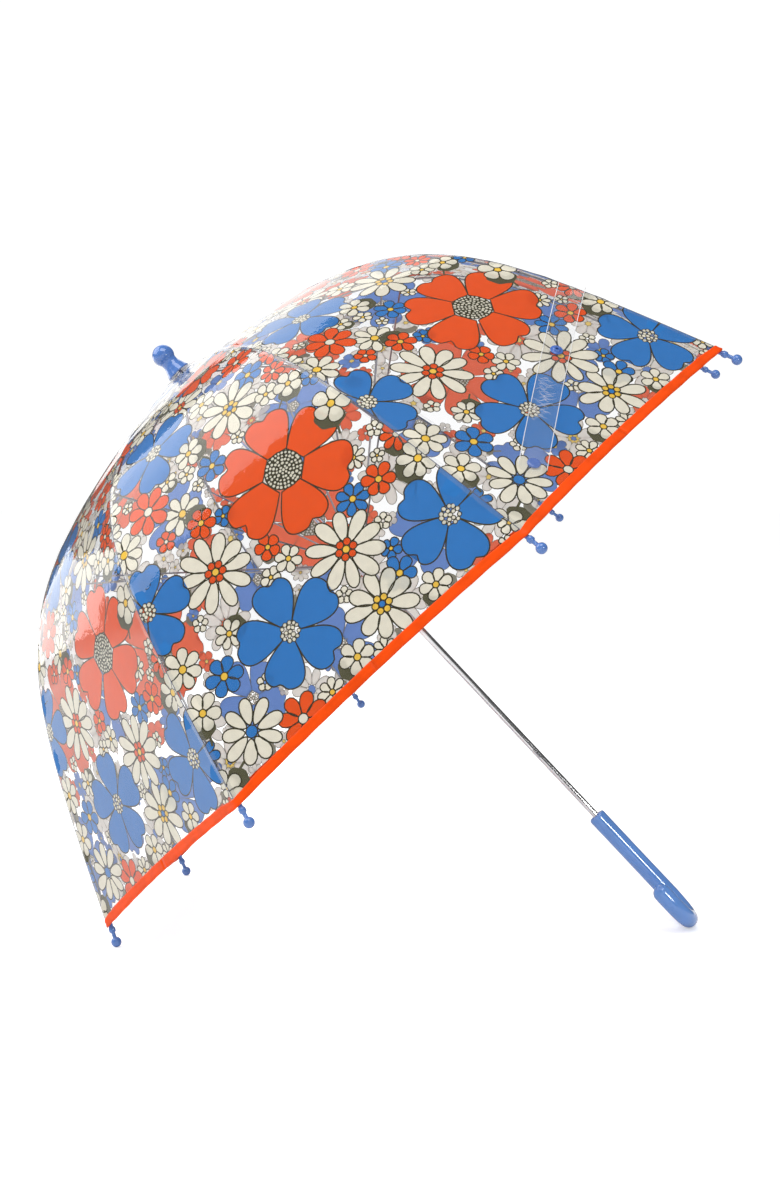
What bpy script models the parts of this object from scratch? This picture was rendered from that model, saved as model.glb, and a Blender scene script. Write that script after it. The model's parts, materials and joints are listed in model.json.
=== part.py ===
"""A child's dome umbrella, open, lying on two rib tips and its handle.

Every piece is modelled on an upright umbrella, in metres: +Z runs up the shaft to the ferrule, and z = 0 is
the plane through the centres of the rib tips. All of it hangs under one empty, lying_frame, which leans the
umbrella over until two tips and the handle touch the ground, then puts the middle of its footprint at the
origin. Ribs are counted clockwise, seen from the ferrule, from the near one of the top two.
"""

import math

import bmesh
import bpy
import numpy as np
from mathutils import Matrix, Vector

# Ribs. The lean is the slope of the rib below the level, which grows from the crown to the rim.
RIB_COUNT = 8
RIB_LENGTH = 0.476  # along the rib, from its crown pivot to the hem
RIB_RADIUS = 0.0008
CROWN_LEAN = math.radians(10.9)
RIM_LEAN = math.radians(66.7)
BEND_AT = 0.224  # along the rib, where it bends most
BEND_SPREAD = 0.094
EYE_DROP = 0.0010  # the crown eye sits this far under the rib's line
EYE_WIDTH = 0.0010
EYE_WALL = 0.0009
WIRE_FROM = 0.0120  # along the rib, where the straight start from the eye joins the curve

# Stretchers, from the runner up to a clip on each rib.
CLIP_AT = 0.200  # along the rib
CLIP_RADIUS = 0.0015
CLIP_LENGTH = 0.0070
CLIP_DROP = 0.0012  # the stretcher's eye sits this far inside the rib's line
STRETCHER_LENGTH = 0.240  # between its two eyes
STRETCHER_RADIUS = 0.0008
TIP_CLOSED_RADIUS = 0.0135  # where a tip's centre comes to rest beside the shaft

# Shaft and the wires that the eyes turn on.
SHAFT_RADIUS = 0.00275
SHAFT_WALL = 0.0005
RING_WIRE_RADIUS = 0.0005
FIT_GAP = 0.0003  # between a piece and whatever it fits or touches
BORE_RADIUS = SHAFT_RADIUS + FIT_GAP
CUT_MARGIN = 0.0020  # how far a cutter runs past what it cuts

# Notched hubs, one fixed at the crown and one on the runner.
HUB_CORE_WALL = 0.00185  # left between the bore and the slots
CROWN_PIVOT_RADIUS = BORE_RADIUS + 0.00445
HUB_RADIUS = CROWN_PIVOT_RADIUS + 0.0020
HUB_CORE_RADIUS = BORE_RADIUS + HUB_CORE_WALL
HUB_ABOVE_WIRE = 0.0025  # on the runner
HUB_BELOW_WIRE = 0.0035
RUNNER_LENGTH = 0.026  # the sleeve under the runner's hub
RUNNER_RADIUS = BORE_RADIUS + 0.00175
RUNNER_SHOULDER = 0.0020  # height of the slopes above and below the sleeve
RUNNER_LIP_RADIUS = RUNNER_RADIUS + 0.0024
RUNNER_LIP_HEIGHT = 0.0030
WINDOW_GAP = 0.0006  # round the catch, where it springs into the runner
STOP_PIN_RADIUS = 0.0006
STOP_PIN_REACH = 0.0011  # beyond the shaft's surface

# Spring catches in slots of the shaft, on the side away from the ribs.
CATCH_TURN = math.radians(-90.0)
CATCH_WIDTH = 0.0008
CATCH_HEIGHT = 0.0080
CATCH_REACH = 0.0017  # beyond the shaft's surface
CATCH_NOSE = 0.0020  # square part at the top, before the slope
CATCH_BACK = 0.0002  # its back edge, from the shaft's middle

# Canopy: flat film between neighbouring ribs, with a folded tape along the rim.
CANOPY_STANDOFF = 0.0022  # from a rib's line to the film's inner face
FILM_THICKNESS = 0.0006
HEM_WIDTH = 0.0100
HEM_THICKNESS = 0.0016
HEM_RISE = 0.0030  # how far the rim curves up between two tips
APEX_HOLE_RADIUS = SHAFT_RADIUS + 0.00085
CANOPY_ROWS = 16
CANOPY_COLUMNS = 4

# Rib tips.
BALL_RADIUS = 0.0040
BALL_REACH = 0.0125  # from the hem to the ball's centre
NECK_RADIUS = 0.0015
COLLAR_RADIUS = 0.0026
COLLAR_FROM = 0.0015  # beyond the hem
COLLAR_TO = 0.0040
COLLAR_SLOPE = 0.0010
BALL_STEPS = 6
SLEEVE_GAP = 0.0004  # between the sleeve and the film over it
SLEEVE_RADIUS = CANOPY_STANDOFF - SLEEVE_GAP
SLEEVE_LENGTH = 0.0150  # inside the canopy

# Ferrule and the frilled washer under it.
FERRULE_BALL_RADIUS = 0.0091
FERRULE_NECK_RADIUS = 0.0066
FERRULE_BASE_RADIUS = 0.0103
FERRULE_BALL_HEIGHT = 0.0190  # from the base to the ball's centre
FERRULE_BORE_DEPTH = 0.0150
FERRULE_NECK_DROP = 0.0012  # straight part under the ball
FERRULE_RIM = 0.0010  # height of the foot's edge
FERRULE_FLARE = 1.6  # 1 is a plain cone, more keeps the neck slim for longer
WASHER_RADIUS = 0.0135
WASHER_THICKNESS = 0.0006

# Handle.
HANDLE_DROP = 0.194  # from the tips' plane down to the handle's top
HANDLE_RADIUS = 0.0072
HANDLE_LENGTH = 0.115  # top to the lowest point of the hook
HOOK_RADIUS = 0.023  # of the hook's centre line
HOOK_ARM = 0.017  # straight part after the bend
HOOK_TURN = math.radians(-88.0)
SOCKET_DEPTH = 0.035  # how far the shaft goes in
HANDLE_TOP_SHAPE = ((0.0, 0.84), (0.0006, 0.95), (0.0020, 1.0))  # below the top, and share of the radius
HOOK_END_SHAPE = ((0.0045, 1.0), (0.0022, 0.93), (0.0008, 0.75), (0.0, 0.5))  # short of the end, and share

# Closing strap on the first panel, with its two press studs.
STRAP_WIDTH = 0.020
STRAP_THICKNESS = 0.0008
STRAP_FROM = (0.035, 0.119)  # share of the way to the next rib, and distance up from the hem
STRAP_TO = (0.830, 0.027)
STRAP_LIFT = 0.0024  # the far end stands clear for the stud under it
STRAP_LIFT_FROM = 0.45  # share of its length where it starts to rise
STRAP_LIFT_OVER = 0.40
STUD_RADIUS = 0.0048
STUD_THICKNESS = 0.0016
STUD_HOLE_RADIUS = 0.0012
STUD_SHARE = 0.36  # along the strap
SOCKET_SHARE = 0.94

TURN_STEPS = 20
EYE_STEPS = 10
HUB_STEPS = 24
WIRE_STEPS = 20
FERRULE_BALL_STEPS = 9
FERRULE_FLARE_STEPS = 5
HOOK_STEPS = 12
STRAP_STEPS = 14
RIB_STEP = 0.0005
HALF_STEP = math.pi / RIB_COUNT  # half the angle between two ribs
FIRST_RIB_TURN = -HALF_STEP


def lean_at(along):
    """Slope of the rib below the level. The last stretch, inside the tip's sleeve, is straight."""
    along = np.minimum(along, RIB_LENGTH - SLEEVE_LENGTH)
    share = 0.5 * (1 + np.tanh((along - BEND_AT) / BEND_SPREAD))
    return CROWN_LEAN + (RIM_LEAN - CROWN_LEAN) * share


def rib_table():
    """Distance along the rib, radius and height, by adding up short steps at their lean."""
    along = np.arange(-0.010, RIB_LENGTH + 0.040, RIB_STEP)
    lean = lean_at(along + RIB_STEP / 2)
    radius = np.concatenate([[0], np.cumsum(np.cos(lean) * RIB_STEP)[:-1]])
    height = -np.concatenate([[0], np.cumsum(np.sin(lean) * RIB_STEP)[:-1]])
    radius += CROWN_PIVOT_RADIUS - np.interp(0, along, radius)
    height -= np.interp(RIB_LENGTH + BALL_REACH, along, height)
    return along, radius, height


RIB_TABLE = rib_table()


def rib_point(along, standoff=0.0):
    """Radius and height of a point on the rib's line, or that far outside it."""
    lean = float(lean_at(along))
    radius = float(np.interp(along, RIB_TABLE[0], RIB_TABLE[1]))
    height = float(np.interp(along, RIB_TABLE[0], RIB_TABLE[2]))
    return radius + standoff * math.sin(lean), height + standoff * math.cos(lean)


def along_at_radius(radius):
    return float(np.interp(radius, RIB_TABLE[1], RIB_TABLE[0]))


PIVOT = Vector((CROWN_PIVOT_RADIUS, rib_point(0)[1] - EYE_DROP))  # radius and height of a crown eye
BALL = Vector(rib_point(RIB_LENGTH + BALL_REACH))


def closing_angle():
    """How far a rib swings in until its tip lies beside the shaft."""
    out, down = BALL.x - PIVOT.x, PIVOT.y - BALL.y
    chord = math.hypot(out, down)
    return math.atan2(out, down) - math.asin((TIP_CLOSED_RADIUS - PIVOT.x) / chord)


def swung_in(point, angle):
    """A point of a rib, as radius and height, after the rib swings in."""
    out, up = point.x - PIVOT.x, point.y - PIVOT.y
    return Vector((
        PIVOT.x + out * math.cos(angle) + up * math.sin(angle),
        PIVOT.y - out * math.sin(angle) + up * math.cos(angle),
    ))


def runner_under(clip):
    """Height of the runner's wire that puts the stretcher's upper eye at the clip."""
    return clip.y - math.sqrt(STRETCHER_LENGTH**2 - (clip.x - CROWN_PIVOT_RADIUS) ** 2)


def stretcher_tilt(clip):
    return math.atan2(clip.x - CROWN_PIVOT_RADIUS, clip.y - runner_under(clip))


CLOSING = closing_angle()
CLIP = Vector(rib_point(CLIP_AT, -CLIP_DROP))
CLIP_CLOSED = swung_in(CLIP, CLOSING)
RUNNER_HEIGHT = runner_under(CLIP)
RUNNER_TRAVEL = RUNNER_HEIGHT - runner_under(CLIP_CLOSED)
STRETCHER_TILT = stretcher_tilt(CLIP)
STRETCHER_SWING = STRETCHER_TILT - stretcher_tilt(CLIP_CLOSED)

RUNNER_BOTTOM = RUNNER_HEIGHT - HUB_BELOW_WIRE - RUNNER_LENGTH
CROWN_RIM_ALONG = along_at_radius(HUB_RADIUS / math.cos(HALF_STEP))
CROWN_TOP = rib_point(CROWN_RIM_ALONG, CANOPY_STANDOFF)[1] - FIT_GAP  # the crown hub just clears the film
CLIP_SIDE = CLIP_RADIUS + FIT_GAP + EYE_WIDTH / 2  # a stretcher's eye lies beside the clip
FILM_TOP = rib_point(along_at_radius(APEX_HOLE_RADIUS), CANOPY_STANDOFF + FILM_THICKNESS)[1]
FERRULE_BASE = FILM_TOP + 2 * FIT_GAP + WASHER_THICKNESS + FIT_GAP
UPPER_CATCH_HEIGHT = RUNNER_BOTTOM - FIT_GAP - CATCH_HEIGHT / 2
LOWER_CATCH_HEIGHT = RUNNER_BOTTOM - RUNNER_TRAVEL + RUNNER_LENGTH / 2
HOOK_CENTRE = HANDLE_DROP + HANDLE_LENGTH - HANDLE_RADIUS - HOOK_RADIUS  # below the tips' plane


def clear_scene():
    for thing in list(bpy.data.objects):
        bpy.data.objects.remove(thing, do_unlink=True)


def new_collection(name):
    group = bpy.data.collections.new(name)
    bpy.context.scene.collection.children.link(group)
    return group


def new_material(name, colour, roughness, metallic=0.0, alpha=1.0):
    material = bpy.data.materials.new(name)
    material.use_nodes = True
    shader = material.node_tree.nodes["Principled BSDF"]
    shader.inputs["Base Color"].default_value = (*colour, 1.0)
    shader.inputs["Roughness"].default_value = roughness
    shader.inputs["Metallic"].default_value = metallic
    shader.inputs["Alpha"].default_value = alpha
    material.diffuse_color = (*colour, alpha)
    return material


clear_scene()
PARTS = new_collection("childrens_umbrella")
CUTTERS = new_collection("cutters")
MATERIALS = {
    "chrome": new_material("chrome", (0.80, 0.80, 0.82), 0.15, 1.0),
    "wire": new_material("wire", (0.50, 0.50, 0.52), 0.30, 1.0),
    "blue_plastic": new_material("blue_plastic", (0.15, 0.31, 0.68), 0.25),
    "clear_plastic": new_material("clear_plastic", (0.92, 0.94, 0.96), 0.20, 0.0, 0.5),
    "film": new_material("film", (0.93, 0.92, 0.90), 0.10, 0.0, 0.35),
    "hem_tape": new_material("hem_tape", (0.88, 0.12, 0.02), 0.35),
}


def add_object(name, mesh, material, parent, collection=None):
    thing = bpy.data.objects.new(name, mesh)
    (collection or PARTS).objects.link(thing)
    thing.parent = parent
    if material and not mesh.materials:
        mesh.materials.append(MATERIALS[material])
    return thing


def add_empty(name, parent, location=(0, 0, 0), turn=0.0):
    empty = bpy.data.objects.new(name, None)
    PARTS.objects.link(empty)
    empty.parent = parent
    empty.location = location
    empty.rotation_euler = (0, 0, turn)
    return empty


def as_guide(thing):
    thing.hide_render = True
    thing.display_type = "WIRE"
    return thing


def baked(thing, name):
    """The object's final shape as a plain mesh. The object itself is removed."""
    bpy.context.view_layer.update()
    graph = bpy.context.evaluated_depsgraph_get()
    mesh = bpy.data.meshes.new_from_object(thing.evaluated_get(graph))
    mesh.name = name
    mesh.transform(thing.matrix_world)
    bpy.data.objects.remove(thing, do_unlink=True)
    form = bmesh.new()
    form.from_mesh(mesh)
    bmesh.ops.remove_doubles(form, verts=form.verts, dist=0.000005)
    bmesh.ops.recalc_face_normals(form, faces=form.faces)
    form.to_mesh(mesh)
    form.free()
    return mesh


def smooth(mesh, angle=40.0):
    mesh.shade_smooth()
    mesh.set_sharp_from_angle(angle=math.radians(angle))
    return mesh


def turned(name, profile, steps=TURN_STEPS, closed=False):
    """A solid turned about Z. The profile is (radius, height) from top to bottom down the outer side."""
    form = bmesh.new()
    points = [form.verts.new((radius, 0, height)) for radius, height in profile]
    for start, end in zip(points, points[1:]):
        form.edges.new((start, end))
    if closed:
        form.edges.new((points[-1], points[0]))
    mesh = bpy.data.meshes.new(name)
    form.to_mesh(mesh)
    form.free()
    thing = bpy.data.objects.new(name, mesh)
    CUTTERS.objects.link(thing)
    screw = thing.modifiers.new("turn", "SCREW")
    screw.steps = steps
    screw.render_steps = steps
    screw.use_merge_vertices = True
    screw.merge_threshold = 0.00001
    return baked(thing, name)


def ring(name, inner, outer, bottom, top, steps=TURN_STEPS):
    return turned(name, [(outer, top), (outer, bottom), (inner, bottom), (inner, top)], steps, closed=True)


def wire(name, points, radius, resolution=1, cyclic=False, thickness=None):
    """A round wire along the points, with closed ends. thickness scales the radius at each point."""
    curve = bpy.data.curves.new(name, "CURVE")
    curve.dimensions = "3D"
    curve.bevel_depth = radius
    curve.bevel_resolution = resolution
    curve.use_fill_caps = not cyclic
    spline = curve.splines.new("POLY")
    spline.points.add(len(points) - 1)
    for index, point in enumerate(points):
        spline.points[index].co = (*point, 1.0)
        spline.points[index].radius = thickness[index] if thickness else 1.0
    spline.use_cyclic_u = cyclic
    thing = bpy.data.objects.new(name, curve)
    CUTTERS.objects.link(thing)
    return baked(thing, name)


def cylinder(name, radius, length, matrix, segments=12):
    form = bmesh.new()
    bmesh.ops.create_cone(
        form, cap_ends=True, segments=segments, radius1=radius, radius2=radius, depth=length, matrix=matrix
    )
    mesh = bpy.data.meshes.new(name)
    form.to_mesh(mesh)
    form.free()
    return mesh


def block(name, size, matrix):
    form = bmesh.new()
    bmesh.ops.create_cube(form, size=1.0, matrix=matrix @ Matrix.Diagonal((*size, 1.0)))
    mesh = bpy.data.meshes.new(name)
    form.to_mesh(mesh)
    form.free()
    return mesh


def combined(name, base, others, operation):
    """The base mesh joined with, or cut by, each of the other meshes."""
    thing = bpy.data.objects.new(name, base)
    CUTTERS.objects.link(thing)
    tools = []
    for other in others:
        tool = as_guide(bpy.data.objects.new(other.name, other))
        CUTTERS.objects.link(tool)
        tools.append(tool)
        change = thing.modifiers.new(operation.lower(), "BOOLEAN")
        change.operation = operation
        change.solver = "EXACT"
        change.object = tool
    mesh = baked(thing, name)
    for tool in tools:
        bpy.data.objects.remove(tool, do_unlink=True)
    return mesh


ACROSS = Matrix.Rotation(math.pi / 2, 4, "X")  # turns Z onto the line across a rib


def catch_slot(name, height):
    """The slot that a spring catch moves in, cut through one side of the shaft."""
    size = (SHAFT_RADIUS + CATCH_REACH, CATCH_WIDTH + 2 * FIT_GAP, CATCH_HEIGHT + 2 * FIT_GAP)
    place = Matrix.Rotation(CATCH_TURN, 4, "Z") @ Matrix.Translation((size[0] / 2, 0, height))
    return block(name, size, place)


def stop_pin_height():
    return RUNNER_HEIGHT + HUB_ABOVE_WIRE + FIT_GAP + STOP_PIN_RADIUS


def build_shaft(parent):
    top = FERRULE_BASE + FERRULE_BORE_DEPTH - FIT_GAP
    bottom = -HANDLE_DROP - SOCKET_DEPTH + FIT_GAP
    tube = ring("tube", SHAFT_RADIUS - SHAFT_WALL, SHAFT_RADIUS, bottom, top)
    pin_place = Matrix.Translation((0, 0, stop_pin_height())) @ Matrix.Rotation(math.pi / 2, 4, "Y")
    cuts = [
        catch_slot("upper_slot", UPPER_CATCH_HEIGHT),
        catch_slot("lower_slot", LOWER_CATCH_HEIGHT),
        cylinder("pin_hole", STOP_PIN_RADIUS + FIT_GAP, 4 * SHAFT_RADIUS, pin_place),
    ]
    add_object("shaft", smooth(combined("shaft", tube, cuts, "DIFFERENCE")), "chrome", parent)


def build_stop_pin(parent):
    place = Matrix.Rotation(math.pi / 2, 4, "Y")
    mesh = cylinder("stop_pin", STOP_PIN_RADIUS, 2 * (SHAFT_RADIUS + STOP_PIN_REACH), place)
    pin = add_object("stop_pin", smooth(mesh), "wire", parent)
    pin.location = (0, 0, stop_pin_height())


def ferrule_profile():
    """Ball, neck and flared foot, down the outer side, then up the bore that the shaft goes in."""
    ball = FERRULE_BASE + FERRULE_BALL_HEIGHT
    neck_angle = math.pi - math.asin(FERRULE_NECK_RADIUS / FERRULE_BALL_RADIUS)
    angles = [neck_angle * step / FERRULE_BALL_STEPS for step in range(FERRULE_BALL_STEPS + 1)]
    outer = [(FERRULE_BALL_RADIUS * math.sin(a), ball + FERRULE_BALL_RADIUS * math.cos(a)) for a in angles]
    outer[0] = (0.0, ball + FERRULE_BALL_RADIUS)
    neck_height = outer[-1][1] - FERRULE_NECK_DROP
    rim = FERRULE_BASE + FERRULE_RIM
    for step in range(FERRULE_FLARE_STEPS + 1):
        share = step / FERRULE_FLARE_STEPS
        spread = (FERRULE_BASE_RADIUS - FERRULE_NECK_RADIUS) * share**FERRULE_FLARE
        outer.append((FERRULE_NECK_RADIUS + spread, neck_height + (rim - neck_height) * share))
    foot = [(FERRULE_BASE_RADIUS, FERRULE_BASE)]
    bore = [(BORE_RADIUS, FERRULE_BASE), (BORE_RADIUS, FERRULE_BASE + FERRULE_BORE_DEPTH)]
    return outer + foot + bore + [(0.0, FERRULE_BASE + FERRULE_BORE_DEPTH)]


def build_ferrule(parent):
    mesh = turned("ferrule", ferrule_profile())
    add_object("ferrule", smooth(mesh), "blue_plastic", parent)


def build_washer(parent):
    """A thin cone of film that lies on the canopy's crown, under the ferrule."""
    profile = []
    for radius in (WASHER_RADIUS, APEX_HOLE_RADIUS):
        along = along_at_radius(radius)
        profile.append((along, CANOPY_STANDOFF + FILM_THICKNESS + 2 * FIT_GAP))
        profile.append((along, CANOPY_STANDOFF + FILM_THICKNESS + 2 * FIT_GAP + WASHER_THICKNESS))
    outer_low, outer_high, inner_low, inner_high = [rib_point(*spot) for spot in profile]
    mesh = turned("crown_washer", [outer_high, outer_low, inner_low, inner_high], closed=True)
    add_object("crown_washer", smooth(mesh), "clear_plastic", parent)


def hub_cuts(height):
    """Eight slots for the eyes, and the groove round the hub that their ring wire lies in."""
    cuts = []
    depth = HUB_RADIUS + CUT_MARGIN - HUB_CORE_RADIUS
    size = (depth, EYE_WIDTH + 2 * FIT_GAP, 2 * (HUB_BELOW_WIRE + RUNNER_SHOULDER + CUT_MARGIN))
    for index in range(RIB_COUNT):
        turn = Matrix.Rotation(rib_turn(index), 4, "Z")
        shift = Matrix.Translation((HUB_CORE_RADIUS + depth / 2, 0, height))
        cuts.append(block(f"slot_{index}", size, turn @ shift))
    inner = CROWN_PIVOT_RADIUS - RING_WIRE_RADIUS - FIT_GAP
    half = RING_WIRE_RADIUS + FIT_GAP
    cuts.append(ring("groove", inner, HUB_RADIUS + CUT_MARGIN, height - half, height + half, HUB_STEPS))
    return cuts


def build_crown(parent):
    """The notched hub that the ribs hang in."""
    body = ring("crown", BORE_RADIUS, HUB_RADIUS, PIVOT.y - HUB_BELOW_WIRE, CROWN_TOP, HUB_STEPS)
    mesh = combined("crown_hub", body, hub_cuts(PIVOT.y), "DIFFERENCE")
    add_object("crown_hub", smooth(mesh, 30), "clear_plastic", parent)


def build_ring_wire(name, height, parent):
    """The wire that runs round a hub, through the eye of every rib or stretcher."""
    count = 3 * RIB_COUNT
    angles = [2 * math.pi * step / count for step in range(count)]
    points = [(CROWN_PIVOT_RADIUS * math.cos(a), CROWN_PIVOT_RADIUS * math.sin(a), height) for a in angles]
    add_object(name, smooth(wire(name, points, RING_WIRE_RADIUS, 0, cyclic=True)), "wire", parent)


def build_runner(parent):
    """The sliding sleeve: a notched hub on a tube that ends in a lip for the fingers."""
    top = RUNNER_HEIGHT + HUB_ABOVE_WIRE
    shoulder = RUNNER_HEIGHT - HUB_BELOW_WIRE
    lip = RUNNER_BOTTOM + RUNNER_LIP_HEIGHT
    profile = [
        (HUB_RADIUS, top),
        (HUB_RADIUS, shoulder),
        (RUNNER_RADIUS, shoulder - RUNNER_SHOULDER),
        (RUNNER_RADIUS, lip + RUNNER_SHOULDER),
        (RUNNER_LIP_RADIUS, lip),
        (RUNNER_LIP_RADIUS, RUNNER_BOTTOM),
        (BORE_RADIUS, RUNNER_BOTTOM),
        (BORE_RADIUS, top),
    ]
    body = turned("sleeve", profile, HUB_STEPS, closed=True)
    mesh = combined("runner", body, hub_cuts(RUNNER_HEIGHT) + [runner_window()], "DIFFERENCE")
    mesh.transform(Matrix.Translation((0, 0, -RUNNER_HEIGHT)))
    add_object("runner", smooth(mesh, 30), "clear_plastic", parent)


def runner_window():
    """The window that the lower catch springs into when the umbrella is shut."""
    size = (2 * RUNNER_RADIUS, CATCH_WIDTH + 2 * WINDOW_GAP, CATCH_HEIGHT + 2 * WINDOW_GAP)
    height = RUNNER_BOTTOM + RUNNER_LENGTH / 2
    shift = Matrix.Translation((size[0] / 2 + BORE_RADIUS - CUT_MARGIN, 0, height))
    place = Matrix.Rotation(CATCH_TURN, 4, "Z") @ shift
    return block("window", size, place)


def build_catch(name, height, parent):
    """A flat spring catch: square where it holds, sloped where the runner rides over it."""
    outline = [
        (CATCH_BACK, CATCH_HEIGHT / 2),
        (SHAFT_RADIUS + CATCH_REACH, CATCH_HEIGHT / 2),
        (SHAFT_RADIUS + CATCH_REACH, CATCH_HEIGHT / 2 - CATCH_NOSE),
        (SHAFT_RADIUS - CATCH_BACK, -CATCH_HEIGHT / 2),
        (CATCH_BACK, -CATCH_HEIGHT / 2),
    ]
    curve = bpy.data.curves.new(name, "CURVE")
    curve.dimensions = "2D"
    curve.fill_mode = "BOTH"
    curve.extrude = CATCH_WIDTH / 2
    spline = curve.splines.new("POLY")
    spline.points.add(len(outline) - 1)
    for point, (out, up) in zip(spline.points, outline):
        point.co = (out, up, 0, 1)
    spline.use_cyclic_u = True
    flat = bpy.data.objects.new(name, curve)
    CUTTERS.objects.link(flat)
    mesh = baked(flat, name)
    mesh.transform(ACROSS)
    home = add_empty(name + "_home", parent, (0, 0, height), CATCH_TURN)
    add_object(name, mesh, "wire", home)


def rib_turn(index):
    return FIRST_RIB_TURN - 2 * HALF_STEP * index


def eye_mesh(name, out, up):
    """A flat eye with the hole for its wire, lying across the line of the rib."""
    hole = RING_WIRE_RADIUS + FIT_GAP
    mesh = ring(name, hole, hole + EYE_WALL, -EYE_WIDTH / 2, EYE_WIDTH / 2, EYE_STEPS)
    mesh.transform(Matrix.Translation((out, 0, up)) @ ACROSS)
    return mesh


def rib_mesh():
    """One rib in its own frame: pivot at the origin, tip towards +X. Eye, wire and stretcher clip are one."""
    start = RING_WIRE_RADIUS + FIT_GAP + EYE_WALL / 2
    end = RIB_LENGTH - FIT_GAP
    points = [(start, 0, 0)]
    for step in range(WIRE_STEPS + 1):
        radius, height = rib_point(WIRE_FROM + (end - WIRE_FROM) * step / WIRE_STEPS)
        points.append((radius - PIVOT.x, 0, height - PIVOT.y))
    body = wire("rib_wire", points, RIB_RADIUS)
    radius, height = rib_point(CLIP_AT, -CLIP_DROP / 2)
    along = Matrix.Rotation(math.pi / 2 + float(lean_at(CLIP_AT)), 4, "Y")
    place = Matrix.Translation((radius - PIVOT.x, 0, height - PIVOT.y)) @ along
    clip = cylinder("clip", CLIP_RADIUS, CLIP_LENGTH, place, 8)
    return smooth(combined("rib", body, [eye_mesh("rib_eye", 0, 0), clip], "UNION"))


def stretcher_mesh():
    """One stretcher, standing up from its runner eye at the origin and leaning out to its clip eye."""
    out = STRETCHER_LENGTH * math.sin(STRETCHER_TILT)
    upper = Vector((out, CLIP_SIDE, STRETCHER_LENGTH * math.cos(STRETCHER_TILT)))
    inset = upper.normalized() * (RING_WIRE_RADIUS + FIT_GAP + EYE_WALL / 2)
    rod = wire("rod", [inset, upper - inset], STRETCHER_RADIUS)
    eyes = [eye_mesh("lower_eye", 0, 0), eye_mesh("upper_eye", upper.x, upper.z)]
    eyes[1].transform(Matrix.Translation((0, CLIP_SIDE, 0)))
    return smooth(combined("stretcher", rod, eyes, "UNION"))


def tip_mesh():
    """Ball, neck, collar and sleeve, turned about the end of the rib, with a blind hole for the rib."""
    neck_angle = math.pi - math.asin(NECK_RADIUS / BALL_RADIUS)
    angles = [neck_angle * step / BALL_STEPS for step in range(BALL_STEPS + 1)]
    profile = [(BALL_RADIUS * math.sin(a), BALL_RADIUS * math.cos(a)) for a in angles]
    profile[0] = (0.0, BALL_RADIUS)
    hem = -BALL_REACH
    bottom = hem - SLEEVE_LENGTH
    bore = RIB_RADIUS + FIT_GAP
    profile += [
        (NECK_RADIUS, hem + COLLAR_TO + COLLAR_SLOPE),
        (COLLAR_RADIUS, hem + COLLAR_TO),
        (COLLAR_RADIUS, hem + COLLAR_FROM),
        (SLEEVE_RADIUS, hem),
        (SLEEVE_RADIUS, bottom),
        (bore, bottom),
        (bore, hem),
        (0.0, hem),
    ]
    mesh = turned("rib_tip", profile, 10)
    lean = float(lean_at(RIB_LENGTH))
    place = Matrix.Translation((BALL.x - PIVOT.x, 0, BALL.y - PIVOT.y))
    mesh.transform(place @ Matrix.Rotation(math.pi / 2 + lean, 4, "Y"))
    return smooth(mesh)


def gore_width(along):
    """How far apart two neighbouring ribs are."""
    return 2 * rib_point(along)[0] * math.sin(HALF_STEP)


def film_point(share, along, standoff):
    """A point of the canopy in the frame of the rib at share 0; the next rib is at share 1.

    The film runs straight from rib to rib, and the rim curves up a little between them.
    """
    middle = 4 * share * (1 - share)
    along -= HEM_RISE * middle * max(along / RIB_LENGTH, 0) ** 2
    radius, height = rib_point(along, standoff)
    turn = -2 * HALF_STEP
    x = radius * ((1 - share) + share * math.cos(turn))
    y = radius * share * math.sin(turn)
    return Vector((x - PIVOT.x, y, height - PIVOT.y))


def thin_sheet(name, place, columns, rows, thickness):
    """A thin solid on the grid of points place(u, v), thickened away from the ribs."""
    form = bmesh.new()
    bmesh.ops.create_grid(form, x_segments=columns, y_segments=rows, size=0.5)
    for vert in form.verts:
        vert.co = place(vert.co.x + 0.5, vert.co.y + 0.5)
    bmesh.ops.recalc_face_normals(form, faces=form.faces)
    highest = max(form.faces, key=lambda face: face.calc_center_median().z)
    if highest.normal.z < 0:
        bmesh.ops.reverse_faces(form, faces=form.faces)
    mesh = bpy.data.meshes.new(name)
    form.to_mesh(mesh)
    form.free()
    thing = bpy.data.objects.new(name, mesh)
    CUTTERS.objects.link(thing)
    shell = thing.modifiers.new("film", "SOLIDIFY")
    shell.thickness = thickness
    shell.offset = 1.0
    shell.use_even_offset = True
    return smooth(baked(thing, name), 60)


def film_sheet(name, start, end, rows, thickness):
    """The stretch of canopy from start to end along the ribs, clear of its neighbours on both sides."""

    def place(share, reach):
        along = start + (end - start) * reach
        edge = FIT_GAP / 2 / math.cos(HALF_STEP) / gore_width(along)
        return film_point(edge + (1 - 2 * edge) * share, along, CANOPY_STANDOFF)

    return thin_sheet(name, place, CANOPY_COLUMNS, rows, thickness)


def panel_mesh():
    start = along_at_radius(APEX_HOLE_RADIUS)
    end = RIB_LENGTH - HEM_WIDTH - FIT_GAP
    return film_sheet("canopy_panel", start, end, CANOPY_ROWS, FILM_THICKNESS)


def hem_mesh():
    return film_sheet("hem_tape", RIB_LENGTH - HEM_WIDTH, RIB_LENGTH, 1, HEM_THICKNESS)


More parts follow.
